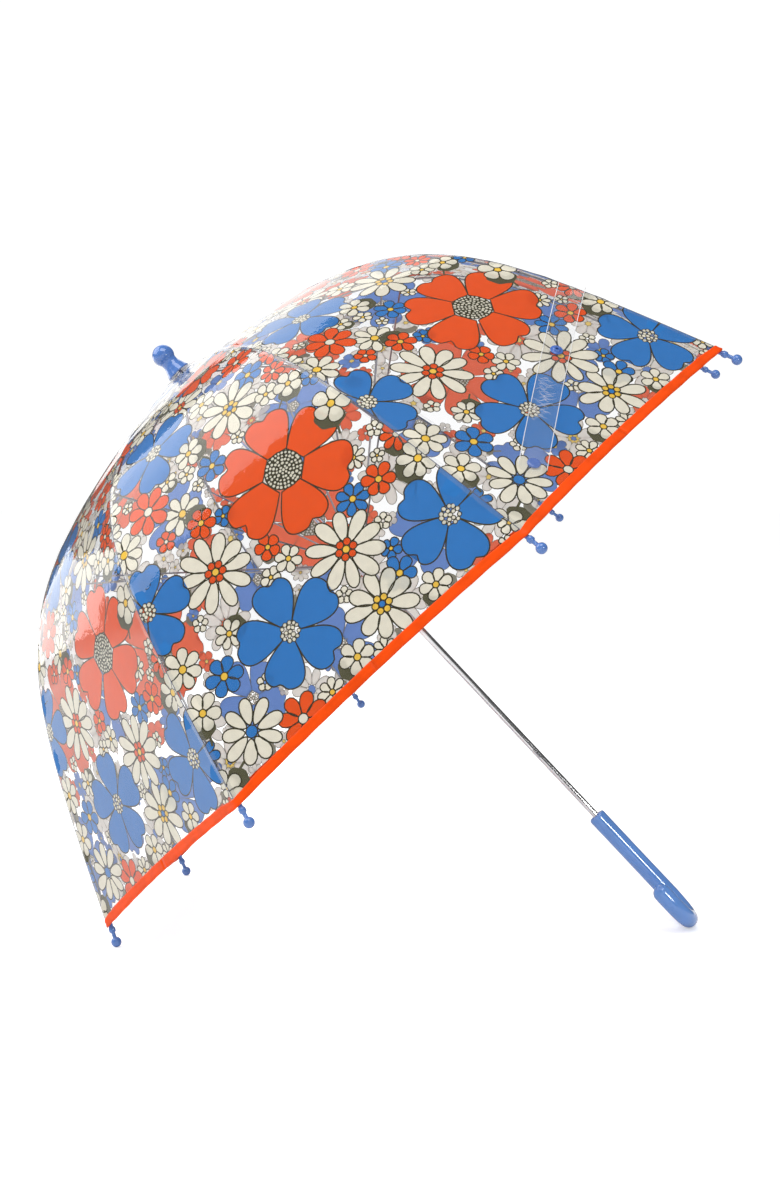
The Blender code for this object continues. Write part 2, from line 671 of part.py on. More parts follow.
def build_ribs(parent):
    """Eight ribs, each with its tip, its stretch of canopy and hem, all turning about the crown pivot."""
    meshes = {
        "rib": (rib_mesh(), "wire"),
        "rib_tip": (tip_mesh(), "blue_plastic"),
        "canopy_panel": (panel_mesh(), "film"),
        "hem_tape": (hem_mesh(), "hem_tape"),
    }
    pivots = []
    for index in range(RIB_COUNT):
        turn = rib_turn(index)
        spot = (PIVOT.x * math.cos(turn), PIVOT.x * math.sin(turn), PIVOT.y)
        pivot = add_empty(f"rib_pivot_{index + 1}", parent, spot, turn)
        for name, (mesh, material) in meshes.items():
            add_object(f"{name}_{index + 1}", mesh, material, pivot)
        pivots.append(pivot)
    return pivots


def build_stretchers(parent):
    """Eight stretchers on the runner's wire. parent is the runner's own frame."""
    mesh = stretcher_mesh()
    for index in range(RIB_COUNT):
        turn = rib_turn(index)
        spot = (CROWN_PIVOT_RADIUS * math.cos(turn), CROWN_PIVOT_RADIUS * math.sin(turn), 0)
        pivot = add_empty(f"stretcher_pivot_{index + 1}", parent, spot, turn)
        add_object(f"stretcher_{index + 1}", mesh, "wire", pivot)


def strap_spot(share, side):
    """Where a point of the strap lies: share of the way along it, and metres to one side of its middle."""

    def flat(across, above_hem):
        along = RIB_LENGTH - above_hem
        return Vector(((across - 0.5) * gore_width(along), along))

    start, end = flat(*STRAP_FROM), flat(*STRAP_TO)
    line = (end - start).normalized()
    spot = start + (end - start) * share + Vector((-line.y, line.x)) * side
    return 0.5 + spot.x / gore_width(spot.y), spot.y


def strap_standoff(share):
    """Clear of the film, and lifting over the stud under the far end."""
    risen = min(max((share - STRAP_LIFT_FROM) / STRAP_LIFT_OVER, 0), 1)
    lift = STRAP_LIFT * 0.5 * (1 - math.cos(math.pi * risen))
    return CANOPY_STANDOFF + FILM_THICKNESS + FIT_GAP + lift


def build_strap(pivot):
    def place(share, across):
        return film_point(*strap_spot(share, STRAP_WIDTH * (across - 0.5)), strap_standoff(share))

    mesh = thin_sheet("strap", place, STRAP_STEPS, 2, STRAP_THICKNESS)
    add_object("strap", mesh, "clear_plastic", pivot)


def stud_place(share, standoff):
    """A frame on the strap's line, with Z away from the canopy."""
    step = 0.01
    spot = strap_spot(share, 0)
    origin = film_point(*spot, standoff)
    ahead = film_point(spot[0], spot[1] + step, standoff) - origin
    beside = film_point(spot[0] + step, spot[1], standoff) - origin
    up = beside.cross(ahead).normalized()
    if up.z < 0:
        up = -up
    ahead = ahead.normalized()
    beside = ahead.cross(up)
    place = Matrix((ahead, -beside, up)).transposed().to_4x4()
    place.translation = origin
    return place


def build_press_studs(pivot):
    """A ring-shaped stud on top of the strap, and its round socket under the strap's far end."""
    half = STUD_THICKNESS / 2
    on_strap = strap_standoff(STUD_SHARE) + STRAP_THICKNESS + FIT_GAP + half
    under_strap = CANOPY_STANDOFF + FILM_THICKNESS + FIT_GAP + half
    stud = ring("snap_stud", STUD_HOLE_RADIUS, STUD_RADIUS, -half, half)
    stud.transform(stud_place(STUD_SHARE, on_strap))
    add_object("snap_stud", smooth(stud), "blue_plastic", pivot)
    place = stud_place(SOCKET_SHARE, under_strap)
    socket = cylinder("snap_socket", STUD_RADIUS, STUD_THICKNESS, place, TURN_STEPS)
    add_object("snap_socket", smooth(socket), "blue_plastic", pivot)


def build_handle(parent):
    """A straight grip that turns up into a hook, with the shaft's socket in its top."""
    top = -HANDLE_DROP
    points = [(0, 0, top - below) for below, share in HANDLE_TOP_SHAPE]
    thickness = [share for below, share in HANDLE_TOP_SHAPE]
    for step in range(HOOK_STEPS + 1):
        angle = math.pi * step / HOOK_STEPS
        points.append((HOOK_RADIUS * (1 - math.cos(angle)), 0, -HOOK_CENTRE - HOOK_RADIUS * math.sin(angle)))
        thickness.append(1.0)
    end = -HOOK_CENTRE + HOOK_ARM
    for back, share in HOOK_END_SHAPE:
        points.append((2 * HOOK_RADIUS, 0, end - back))
        thickness.append(share)
    body = wire("handle_body", points, HANDLE_RADIUS, 3, thickness=thickness)
    body.transform(Matrix.Rotation(HOOK_TURN, 4, "Z"))
    socket_place = Matrix.Translation((0, 0, top - SOCKET_DEPTH / 2 + FIT_GAP))
    socket = cylinder("socket", BORE_RADIUS, SOCKET_DEPTH + 2 * FIT_GAP, socket_place, TURN_STEPS)
    add_object("handle", smooth(combined("handle", body, [socket], "DIFFERENCE")), "blue_plastic", parent)


def lying_lean():
    """How far the shaft leans from the upright when two tips and the hook touch the ground together.

    The two lowest ribs are half a step either side of straight down, so their tips reach
    tip_out * sin(lean) below the middle of the rim, and the hook reaches hook_down * cos(lean).
    """
    tip_out = BALL.x * math.cos(HALF_STEP)
    hook_down = HOOK_CENTRE + HOOK_RADIUS
    difference = HANDLE_RADIUS - BALL_RADIUS
    return math.atan2(hook_down, tip_out) + math.asin(difference / math.hypot(tip_out, hook_down))


def set_down(frame):
    """Moves the finished umbrella so that it stands on z = 0 with its box centred on the origin."""
    bpy.context.view_layer.update()
    graph = bpy.context.evaluated_depsgraph_get()
    corners = []
    for thing in PARTS.objects:
        if thing.type == "MESH":
            shape = thing.evaluated_get(graph).to_mesh()
            places = np.array([tuple(thing.matrix_world @ vert.co) for vert in shape.vertices])
            corners += [places.min(axis=0), places.max(axis=0)]
            thing.evaluated_get(graph).to_mesh_clear()
    low, high = np.min(corners, axis=0), np.max(corners, axis=0)
    frame.location = (-(low[0] + high[0]) / 2, -(low[1] + high[1]) / 2, -low[2])


def build_umbrella():
    frame = add_empty("lying_frame", None)
    frame.rotation_euler = (0, -lying_lean(), 0)
    build_shaft(frame)
    build_stop_pin(frame)
    build_ferrule(frame)
    build_washer(frame)
    build_crown(frame)
    build_ring_wire("crown_wire", PIVOT.y, frame)
    build_catch("upper_catch", UPPER_CATCH_HEIGHT, frame)
    build_catch("lower_catch", LOWER_CATCH_HEIGHT, frame)
    runner_frame = add_empty("runner_frame", frame, (0, 0, RUNNER_HEIGHT))
    build_runner(runner_frame)
    build_ring_wire("runner_wire", 0, runner_frame)
    build_stretchers(runner_frame)
    pivots = build_ribs(frame)
    build_strap(pivots[0])
    build_press_studs(pivots[0])
    build_handle(frame)
    set_down(frame)


build_umbrella()
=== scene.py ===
import json
import math
import random

import bmesh
import bpy
import numpy as np
from mathutils import Matrix, Quaternion, Vector


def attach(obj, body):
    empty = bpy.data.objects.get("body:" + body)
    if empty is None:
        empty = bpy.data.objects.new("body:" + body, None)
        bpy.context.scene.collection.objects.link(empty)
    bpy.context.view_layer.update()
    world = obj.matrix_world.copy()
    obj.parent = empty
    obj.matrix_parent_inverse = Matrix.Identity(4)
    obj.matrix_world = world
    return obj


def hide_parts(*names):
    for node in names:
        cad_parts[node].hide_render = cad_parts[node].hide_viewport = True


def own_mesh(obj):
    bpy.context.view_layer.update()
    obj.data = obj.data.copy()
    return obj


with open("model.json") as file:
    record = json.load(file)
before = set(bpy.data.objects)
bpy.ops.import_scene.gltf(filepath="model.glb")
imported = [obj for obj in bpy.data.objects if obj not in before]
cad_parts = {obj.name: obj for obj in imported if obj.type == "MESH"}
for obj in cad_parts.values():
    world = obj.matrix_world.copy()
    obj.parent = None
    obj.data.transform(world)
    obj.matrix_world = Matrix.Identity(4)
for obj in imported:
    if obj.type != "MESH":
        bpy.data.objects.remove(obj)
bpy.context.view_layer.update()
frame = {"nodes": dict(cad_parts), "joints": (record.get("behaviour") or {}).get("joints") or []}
joints = {joint["name"]: joint for joint in frame["joints"]}
print("frame loaded:", len(frame["nodes"]), "CAD nodes")

# Where the umbrella lies. Everything is placed from the rib hinges and the shaft's line.
ribCount = 8
halfStep = math.pi / ribCount
hinges = [Vector(joints[f"rib_hinge_{k}"]["pos_m"]) for k in range(1, ribCount + 1)]
crown = sum(hinges, Vector()) / ribCount
up = -Vector(joints["runner_slide"]["axis"]).normalized()  # along the shaft, towards the ferrule
ribOut = [(hinge - crown).normalized() for hinge in hinges]
hingeRadius = (hinges[0] - crown).length
levelOut = (ribOut[0] + ribOut[-1]).normalized()  # halfway between the two highest ribs
levelSide = up.cross(levelOut).normalized()
standing = Matrix((levelOut, levelSide, up)).transposed().to_4x4()
standing.translation = crown  # a matrix from the upright umbrella to where it lies

canopy = {
    "ribLength": 0.476,  # from the hinge to the hem
    "crownLean": math.radians(10.9),  # the rib's slope at the crown, from level
    "rimLean": math.radians(66.7),
    "bendAt": 0.224,  # how far down the rib its slope changes fastest
    "bendSpread": 0.094,
    "rimStraight": 0.015,  # the last of the rib, which no longer bends
    "eyeDrop": 0.0010,  # from the hinge's height to the rib's line
    "filmOut": 0.0027,  # from the rib's line to the film
    "holeRadius": 0.0036,
    "hemWidth": 0.0082,
    "hemRise": 0.0030,  # how far the rim curves up between two ribs
    "belly": 0.0030,  # how far the film swells between two ribs
    "ripple": 0.00022,
    # two sets of ripples beside the ribs: radians per metre, change from gore to gore, slant, share of the height
    "ripples": ((151, 1.7, 3, 1.0), (257, 2.9, -5, 0.6)),
    "rippleReach": 0.03,
    "rowStep": 0.0060,
    "columns": 16,  # over a whole gore
    "foldedTo": 0.2,  # share of its width that a gore keeps when the umbrella is shut
}


# Shape of the canopy
def leanAt(along):
    along = np.minimum(along, canopy["ribLength"] - canopy["rimStraight"])
    share = 0.5 * (1 + np.tanh((along - canopy["bendAt"]) / canopy["bendSpread"]))
    return canopy["crownLean"] + (canopy["rimLean"] - canopy["crownLean"]) * share


# The rib's curve as a table, from a little above its hinge to past its tip
tableStep = 0.0005
tableAlong = np.arange(-0.010, canopy["ribLength"] + 0.040, tableStep)
tableLean = leanAt(tableAlong + tableStep / 2)
tableOut = np.concatenate([[0], np.cumsum(np.cos(tableLean) * tableStep)[:-1]])
tableDown = np.concatenate([[0], np.cumsum(np.sin(tableLean) * tableStep)[:-1]])
tableOut += hingeRadius - np.interp(0, tableAlong, tableOut)
tableDown -= np.interp(0, tableAlong, tableDown)


def ribLine(along, standoff=0.0):
    # radius from the shaft, and height over the crown hinges
    lean = leanAt(along)
    radius = np.interp(along, tableAlong, tableOut) + standoff * np.sin(lean)
    height = canopy["eyeDrop"] - np.interp(along, tableAlong, tableDown) + standoff * np.cos(lean)
    return radius, height


def goreWidth(along):
    return 2 * ribLine(along)[0] * math.sin(halfStep)


def alongAtRadius(radius):
    return float(np.interp(radius, tableOut, tableAlong))


def place(points):
    # from the upright umbrella to where it lies
    spots = np.asarray(points, float).reshape(-1, 3)
    turn = np.array(standing.to_3x3())
    return spots @ turn.T + np.array(crown)


def filmPoints(gore, share, along, lift):
    # a gore lies between its own rib (share 0) and the next one (share 1)
    share, along = np.asarray(share, float), np.asarray(along, float)
    middle = 4 * share * (1 - share)
    line = along - canopy["hemRise"] * middle * np.clip(along / canopy["ribLength"], 0, None) ** 2
    radius, height = ribLine(line, canopy["filmOut"] + lift)
    turnA = -halfStep - 2 * halfStep * gore
    turnB = turnA - 2 * halfStep
    x = radius * ((1 - share) * math.cos(turnA) + share * math.cos(turnB))
    y = radius * ((1 - share) * math.sin(turnA) + share * math.sin(turnB))
    slope = np.tan(leanAt(line)) / math.cos(halfStep)
    steep = np.sqrt(1 + slope**2)
    turnM = (turnA + turnB) / 2
    reach = np.clip(along / canopy["ribLength"], 0, 1)
    swell = canopy["belly"] * middle**0.8 * np.sin(math.pi * reach**1.3) ** 0.9
    edge = np.minimum(share, 1 - share) * goreWidth(line)
    wave = sum(size * np.sin(along * rate + gore * change + share * slant)
               for rate, change, slant, size in canopy["ripples"])
    fade = np.exp(-edge / canopy["rippleReach"]) * np.clip(edge / 0.002, 0, 1)  # none on the rib itself
    swell = swell + canopy["ripple"] * wave * fade
    x = x + swell * slope / steep * math.cos(turnM)
    y = y + swell * slope / steep * math.sin(turnM)
    z = height + swell / steep
    return np.stack([x, y, z], -1)


def filmNormals(gore, share, along):
    aside, ahead = 0.0020, 0.0004
    across = filmPoints(gore, share + aside, along, 0) - filmPoints(gore, share - aside, along, 0)
    down = filmPoints(gore, share, along + ahead, 0) - filmPoints(gore, share, along - ahead, 0)
    normal = np.cross(across, down)
    normal /= np.linalg.norm(normal, axis=-1, keepdims=True)
    flip = np.where(normal[..., 2] < 0, -1.0, 1.0)
    return normal * flip[..., None]


def onGore(gore, flat):
    # (share, distance down, lift) of points on one gore, to where they lie
    flat = np.asarray(flat, float)
    return place(filmPoints(gore, flat[:, 0], flat[:, 1], flat[:, 2]))


# Making pieces
def newPiece(name, points, faces, material, normals=None, maps=None):
    mesh = bpy.data.meshes.new(name)
    mesh.from_pydata([tuple(p) for p in points], [], faces)
    mesh.update()
    if maps is not None:
        layer = mesh.uv_layers.new(name="OFBake")
        corners = np.empty(len(mesh.loops), int)
        mesh.loops.foreach_get("vertex_index", corners)
        layer.uv.foreach_set("vector", np.asarray(maps, np.float32)[corners].ravel())
    mesh.shade_smooth()
    if normals is not None:
        mesh.normals_split_custom_set_from_vertices([tuple(n) for n in normals])
    mesh.materials.append(material)
    thing = bpy.data.objects.new(name, mesh)
    bpy.context.scene.collection.objects.link(thing)
    return thing


def lathe(name, profile, material, steps=48, wobble=None):
    # profile is (radius, height) from the top down the outside
    points, faces, rows = [], [], []
    for radius, height in profile:
        if radius == 0:
            rows.append([len(points)])
            points.append((0.0, 0.0, height))
            continue
        row = []
        for step in range(steps):
            angle = 2 * math.pi * step / steps
            r, h = (radius, height) if wobble is None else wobble(radius, height, angle)
            row.append(len(points))
            points.append((r * math.cos(angle), r * math.sin(angle), h))
        rows.append(row)
    for above, below in zip(rows, rows[1:]):
        for step in range(steps):
            nextStep = (step + 1) % steps
            if len(above) == 1:
                faces.append((above[0], below[step], below[nextStep]))
            elif len(below) == 1:
                faces.append((above[step], below[0], above[nextStep]))
            else:
                faces.append((above[step], below[step], below[nextStep], above[nextStep]))
    return newPiece(name, points, faces, material)


def moveMesh(thing, matrix):
    thing.data.transform(matrix)
    thing.data.update()


def tubeFaces(rings, sides):
    # the skin between rings of points, with both ends closed
    faces = []
    for ring in range(rings - 1):
        for step in range(sides):
            a, b = ring * sides + step, ring * sides + (step + 1) % sides
            faces.append((a, b, b + sides, a + sides))
    faces.append(tuple(range(sides))[::-1])
    faces.append(tuple(range((rings - 1) * sides, rings * sides)))
    return faces


def faceOutward(thing):
    shape = bmesh.new()
    shape.from_mesh(thing.data)
    bmesh.ops.recalc_face_normals(shape, faces=shape.faces)
    shape.to_mesh(thing.data)
    shape.free()


def sweep(name, line, radii, side, material, sides=32):
    # a round bar along a line that stays in the plane across side
    points = []
    for index, centre in enumerate(line):
        ahead = line[min(index + 1, len(line) - 1)] - line[max(index - 1, 0)]
        ahead.normalize()
        out = ahead.cross(side).normalized()
        for step in range(sides):
            angle = 2 * math.pi * step / sides
            points.append(centre + (out * math.cos(angle) + side * math.sin(angle)) * radii[index])
    thing = newPiece(name, points, tubeFaces(len(line), sides), material)
    faceOutward(thing)
    return thing


def threadAlong(name, line, radius, material, sides=6):
    # a fine round line through the points
    points = []
    for index, centre in enumerate(line):
        ahead = (line[min(index + 1, len(line) - 1)] - line[max(index - 1, 0)]).normalized()
        side = ahead.cross(Vector((0.31, 0.72, 0.22))).normalized()  # any direction that no line follows
        other = ahead.cross(side)
        for step in range(sides):
            angle = 2 * math.pi * step / sides
            points.append(centre + (side * math.cos(angle) + other * math.sin(angle)) * radius)
    return newPiece(name, points, tubeFaces(len(line), sides), material)


def takePlace(piece, body, node):
    # the piece moves with the body and is shown instead of the node
    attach(piece, body)
    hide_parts(node)


# Finishes
def colour(red, green, blue):
    # from 0-255 as a colour picker gives them
    return tuple((c / 255 / 12.92) if c < 10 else ((c / 255 + 0.055) / 1.055) ** 2.4 for c in (red, green, blue)) + (1,)


def shade(tint, amount):
    return tuple(c * amount for c in tint[:3]) + (1,)


def newMaterial(name):
    material = bpy.data.materials.new(name)
    material.use_nodes = True
    tree = material.node_tree
    return material, tree, tree.nodes["Principled BSDF"]


def feed(tree, socket, value):
    # a socket gets a fixed value, or a wire from another node
    if isinstance(value, bpy.types.NodeSocket):
        tree.links.new(value, socket)
    else:
        socket.default_value = value


def addNode(tree, kind, **values):
    node = tree.nodes.new("ShaderNode" + kind)
    for name, value in values.items():
        feed(tree, node.inputs[name], value)
    return node


def addNoise(tree, scale, detail=3.0, stretch=(1, 1, 1)):
    spot = addNode(tree, "TexCoord").outputs["Object"]
    mapping = addNode(tree, "Mapping", Vector=spot, Scale=stretch)
    return addNode(tree, "TexNoise", Vector=mapping.outputs["Vector"], Scale=scale, Detail=detail).outputs["Fac"]


def addRamp(tree, value, low, high, lowAt=0.3, highAt=0.7):
    ramp = addNode(tree, "ValToRGB", Fac=value)
    for stop, at, tint in zip(ramp.color_ramp.elements, (lowAt, highAt), (low, high)):
        stop.position, stop.color = at, tint
    return ramp.outputs["Color"]


def addRange(tree, value, low, high):
    span = addNode(tree, "MapRange", Value=value)
    feed(tree, span.inputs["To Min"], low)
    feed(tree, span.inputs["To Max"], high)
    return span.outputs["Result"]


def addBump(tree, height, strength, distance, over=None):
    bump = addNode(tree, "Bump", Height=height, Strength=strength, Distance=distance)
    if over:
        feed(tree, bump.inputs["Normal"], over)
    return bump.outputs["Normal"]


def mixShaders(tree, share, first, second):
    mix = addNode(tree, "MixShader", Fac=share)
    feed(tree, mix.inputs[1], first.outputs[0])
    feed(tree, mix.inputs[2], second.outputs[0])
    return mix


filmLook = {
    "ior": 1.50,
    "haze": 0.008,
    "roughness": 0.03,
    "tint": (0.985, 0.988, 0.99, 1),
    "milk": (0.93, 0.94, 0.95, 1),
    "waves": 0.12,  # how strongly each size of unevenness shows in the gloss
    "creases": 0.22,
    "grain": 0.25,
}


def makeFilm(name, haze, roughness):
    # clear vinyl: mostly see-through, glossy, with a faint milky haze, slow waves and sharper creases
    material, tree, shader = newMaterial(name)
    tree.nodes.remove(shader)
    fine = addNoise(tree, 240.0, 2.0)
    waves = addBump(tree, addNoise(tree, 26.0, 2.0), filmLook["waves"], 0.004)
    ridges = addNode(tree, "TexNoise", Vector=addNode(tree, "TexCoord").outputs["Object"], Scale=13.0, Detail=3.0)
    ridges.noise_type = "RIDGED_MULTIFRACTAL"
    creases = addBump(tree, ridges.outputs["Fac"], filmLook["creases"], 0.0016, waves)
    skin = addBump(tree, fine, filmLook["grain"], 0.0003, creases)
    clear = addNode(tree, "BsdfTransparent", Color=filmLook["tint"])
    milk = addNode(tree, "BsdfDiffuse", Color=filmLook["milk"])
    gloss = addNode(tree, "BsdfAnisotropic", Color=(1, 1, 1, 1), Roughness=roughness, Normal=skin)
    # The film is thin, so both of its faces shine alike.
    bend = addRange(tree, addNode(tree, "NewGeometry").outputs["Backfacing"], filmLook["ior"], 1 / filmLook["ior"])
    shine = addNode(tree, "Fresnel", IOR=bend, Normal=skin).outputs["Fac"]
    body = mixShaders(tree, addRange(tree, fine, haze * 0.6, haze * 1.4), clear, milk)
    surface = mixShaders(tree, shine, body, gloss)
    tree.links.new(surface.outputs["Shader"], tree.nodes["Material Output"].inputs["Surface"])
    return material


def makeInk(name, front, back, through):
    # screen ink: even with a faint mottle, and it lets some light through; it is paler on the side that faces the
    # shaft, partly as the back of the print is paler and partly as painted light that makes up for the shade inside the
    # canopy
    material, tree, shader = newMaterial(name)
    mottle = addNoise(tree, 170.0, 4.0)
    tint = tree.nodes.new("ShaderNodeMix")
    tint.data_type = "RGBA"
    # painted light: back faces take the paler inside colour, partly the paler back of the print and partly lightened
    # for the shade inside the canopy
    feed(tree, tint.inputs["Factor"], addNode(tree, "NewGeometry").outputs["Backfacing"])
    feed(tree, tint.inputs["A"], addRamp(tree, mottle, shade(front, 0.95), shade(front, 1.04)))
    feed(tree, tint.inputs["B"], addRamp(tree, mottle, shade(back, 0.97), shade(back, 1.03)))
    feed(tree, shader.inputs["Base Color"], tint.outputs["Result"])
    feed(tree, shader.inputs["Roughness"], addRange(tree, mottle, 0.42, 0.58))
    feed(tree, shader.inputs["Specular IOR Level"], 0.15)
    glow = addNode(tree, "BsdfTranslucent", Color=tint.outputs["Result"])
    surface = mixShaders(tree, through, shader, glow)
    tree.links.new(surface.outputs["Shader"], tree.nodes["Material Output"].inputs["Surface"])
    return material


def makePlastic(name, tint, roughness, coat):
    # moulded plastic: a faint swirl in the colour, orange-peel gloss and fine handling marks
    material, tree, shader = newMaterial(name)
    swirl = addNoise(tree, 60.0, 3.0)
    marks = addNoise(tree, 900.0, 2.0, (1, 1, 0.15))
    feed(tree, shader.inputs["Base Color"], addRamp(tree, swirl, shade(tint, 0.94), shade(tint, 1.05)))
    feed(tree, shader.inputs["Roughness"], addRange(tree, marks, roughness * 0.8, roughness * 1.35))
    feed(tree, shader.inputs["Normal"], addBump(tree, swirl, 0.12, 0.0004))
    feed(tree, shader.inputs["Coat Weight"], coat)
    feed(tree, shader.inputs["Coat Roughness"], 0.03)
    return material


def makeMetal(name, tint, roughness, grain):
    # drawn and plated metal: a slight unevenness in its colour and gloss, grain sets how fine
    material, tree, shader = newMaterial(name)
    uneven = addNoise(tree, grain, 3.0)
    feed(tree, shader.inputs["Metallic"], 1.0)
    feed(tree, shader.inputs["Base Color"], addRamp(tree, uneven, shade(tint, 0.85), shade(tint, 1.05)))
    feed(tree, shader.inputs["Roughness"], addRange(tree, uneven, roughness * 0.6, roughness * 1.6))
    feed(tree, shader.inputs["Normal"], addBump(tree, uneven, 0.06, 0.0002))
    return material


def makeTape(name, tint):
    # soft vinyl binding: fine embossed grain, and painted shade in soft noise patches that stand for its folds
    material, tree, shader = newMaterial(name)
    grain = addNoise(tree, 1500.0, 2.0)
    foldShade = addNoise(tree, 70.0, 3.0)
    # painted shade: the colour darkens in noise patches meant as the tape's folds, which do not follow its gathers
    feed(tree, shader.inputs["Base Color"], addRamp(tree, foldShade, shade(tint, 0.84), shade(tint, 1.06)))
    feed(tree, shader.inputs["Roughness"], addRange(tree, grain, 0.30, 0.48))
    feed(tree, shader.inputs["Normal"], addBump(tree, grain, 0.25, 0.0001))
    feed(tree, shader.inputs["Specular IOR Level"], 0.10)
    return material


# Each ink: its colour from outside, from inside (paler, partly painted light for the shaded inside of the canopy), and
# how much light it lets through.
inkColours = {
    "olive": ((58, 54, 34), (138, 134, 114), 0.10),
    "leaf": ((84, 82, 58), (150, 148, 130), 0.15),
    "orange": ((232, 82, 16), (242, 116, 84), 0.30),
    "blue": ((46, 120, 192), (112, 148, 214), 0.30),
    "cream": ((230, 225, 206), (240, 237, 228), 0.30),
    "yellow": ((240, 196, 72), (244, 216, 120), 0.30),
}
inks = {name: makeInk(name + "Ink", colour(*front), colour(*back), through)
        for name, (front, back, through) in inkColours.items()}
clearFilm = makeFilm("clearFilm", filmLook["haze"], filmLook["roughness"])
strapFilm = makeFilm("strapFilm", 0.05, 0.06)
handleBlue = makePlastic("handleBlue", colour(104, 152, 222), 0.12, 0.8)
tipBlue = makePlastic("tipBlue", colour(82, 122, 190), 0.14, 0.7)
bindingOrange = makeTape("bindingOrange", colour(240, 76, 6))
chromePlate = makeMetal("chromePlate", (0.86, 0.86, 0.87, 1), 0.09, 60.0)
drawnWire = makeMetal("drawnWire", (0.36, 0.36, 0.38, 1), 0.30, 400.0)
hubPlastic = makePlastic("hubPlastic", colour(226, 230, 234), 0.25, 0.4)
threadDark = makePlastic("threadDark", colour(62, 74, 104), 0.6, 0.0)
studBlue = makePlastic("studBlue", colour(66, 104, 182), 0.18, 0.6)
milkyEdge = makeFilm("milkyEdge", 0.55, 0.12)
print("finishes made")


# The print: flat flowers, laid out on one gore and repeated on all eight
printing = {
    "outline": 0.00105,  # width of the drawn lines
    "fineLine": 0.0009,
    "firstLift": -0.00007,  # the print lies on the inside of the film
    "levelStep": 0.000045,  # how much deeper each overlapped flower lies
    "subStep": 0.000011,  # and each layer of ink within a flower
    "seed": 11,
    "spread": 0.93,  # a flower overlaps others from this share of its radius
    "gap": 0.001,
    "leafReach": 0.92,  # of a crescent leaf, as shares of its flower's radius
    "leafThick": 0.36,
    "fillFrom": 0.015,  # where the smaller flowers start, and over how much of the rib
    "fillOver": 0.455,
}
draw = random.Random(printing["seed"])
inkShapes = {name: [] for name in inks}  # each is (flat points, lift)
placed = []  # (x, along, radius, level) of everything laid down so far


def levelFor(x, along, radius):
    # one level under whatever it overlaps
    under = [level for px, pa, pr, level in placed if math.hypot(px - x, pa - along) < pr + radius + printing["gap"]]
    level = max(under) + 1 if under else 0
    placed.append((x, along, radius, level))
    return level


def liftAt(level, sub):
    return printing["firstLift"] - printing["levelStep"] * level - printing["subStep"] * (3 - sub)


def layShape(ink, points, level, sub):
    # sub is the layer of ink within the flower, higher ones nearer the film
    inkShapes[ink].append(([tuple(p) for p in points], liftAt(level, sub)))


def outlineShape(points, level, sub, width=printing["outline"]):
    # a band along a closed line, in short pieces
    half = width / 2
    count = len(points)
    outer, inner = [], []
    for index, here in enumerate(points):
        before, after = points[index - 1], points[(index + 1) % count]
        dx, dy = after[0] - before[0], after[1] - before[1]
        size = math.hypot(dx, dy) or 1e-9
        nx, ny = dy / size, -dx / size
        outer.append((here[0] + nx * half, here[1] + ny * half))
        inner.append((here[0] - nx * half, here[1] - ny * half))
    for index in range(count):
        following = (index + 1) % count
        layShape("olive", [outer[index], outer[following], inner[following], inner[index]], level, sub)


def turnedShape(points, angle, x, along):
    c, s = math.cos(angle), math.sin(angle)
    return [(x + px * c - py * s, along + px * s + py * c) for px, py in points]


def roundShape(radius, sides, squeeze=1.0):
    angles = [2 * math.pi * i / sides for i in range(sides)]
    return [(radius * math.cos(angle), radius * squeeze * math.sin(angle)) for angle in angles]


def heartPetal(radius, half, notch, square, steps=32):
    # square says how far out neighbouring petals touch
    points = []
    lean = draw.uniform(-0.10, 0.10)
    for index in range(1, steps):
        psi = math.sin(math.pi / 2 * (2 * index / steps - 1))
        dip = notch * math.exp(-(((psi - lean) / 0.15) ** 2)) + 0.03 * (psi - lean) * lean * 10
        reach = radius * (1 - abs(psi) ** square) ** (1.5 / square) * (1 - dip)
        points.append((reach * math.cos(psi * half), reach * math.sin(psi * half)))
    return points


def longPetal(start, end, width, steps=18):
    # wider towards its tip
    middle, half = (start + end) / 2, (end - start) / 2
    points = []
    for index in range(steps):
        t = 2 * math.pi * index / steps
        points.append((middle + half * math.cos(t), width * math.sin(t) * (1 + 0.28 * math.cos(t))))
    return points


def addPetal(ink, points, angle, x, along, level, width=printing["outline"]):
    shape = turnedShape(points, angle, x, along)
    layShape(ink, shape, level, 1)
    outlineShape(shape, level, 2, width)


def dotCluster(x, along, radius, dotRadius, rings, level, base=True):
    # rings of pale dots, on a dark disc or each with its own line
    if base:
        layShape("olive", turnedShape(roundShape(radius, 24), 0, x, along), level, 2)
    for ring in range(rings + 1):
        reach = radius * 0.93 * ring / (rings + 0.35)
        count = max(1, round(2 * math.pi * reach / (dotRadius * 2.5)))
        for index in range(count):
            angle = 2 * math.pi * (index + draw.uniform(-0.2, 0.2)) / count + ring * 0.7
            size = dotRadius * draw.uniform(0.78, 1.08)
            px, py = x + reach * math.cos(angle), along + reach * math.sin(angle)
            dot = turnedShape(roundShape(size, 7, draw.uniform(0.8, 1.0)), draw.uniform(0, 3), px, py)
            if not base:
                outlineShape(turnedShape(roundShape(size * 1.1, 8), 0, px, py), level, 2, printing["fineLine"])
            layShape("cream", dot, level, 3)
            if base:
                layShape("cream", dot, level, -1)  # the same dots from inside


def bigFlower(ink, x, along, radius, petals, turn, centre):
    level = levelFor(x, along, radius * printing["spread"])
    for index in range(petals):
        angle = turn + 2 * math.pi * index / petals + draw.uniform(-0.04, 0.04)
        reach = radius * draw.uniform(0.95, 1.03)
        shape = heartPetal(reach, math.pi / petals * 0.99, draw.uniform(0.07, 0.13), 5.0 if ink == "orange" else 3.7)
        addPetal(ink, shape, angle, x, along, level)
    if ink == "orange":
        dotCluster(x, along, centre, 0.00078 * centre / 0.010, 5, level)
    else:
        dotCluster(x, along, centre, 0.00150, 2, level, base=False)


# Colour of the dots round a daisy's middle, of the middle itself, and how many dots.
daisyMiddles = {"orange": ("orange", "yellow", 6), "blue": ("yellow", "blue", 6), "plain": (None, "blue", 0)}


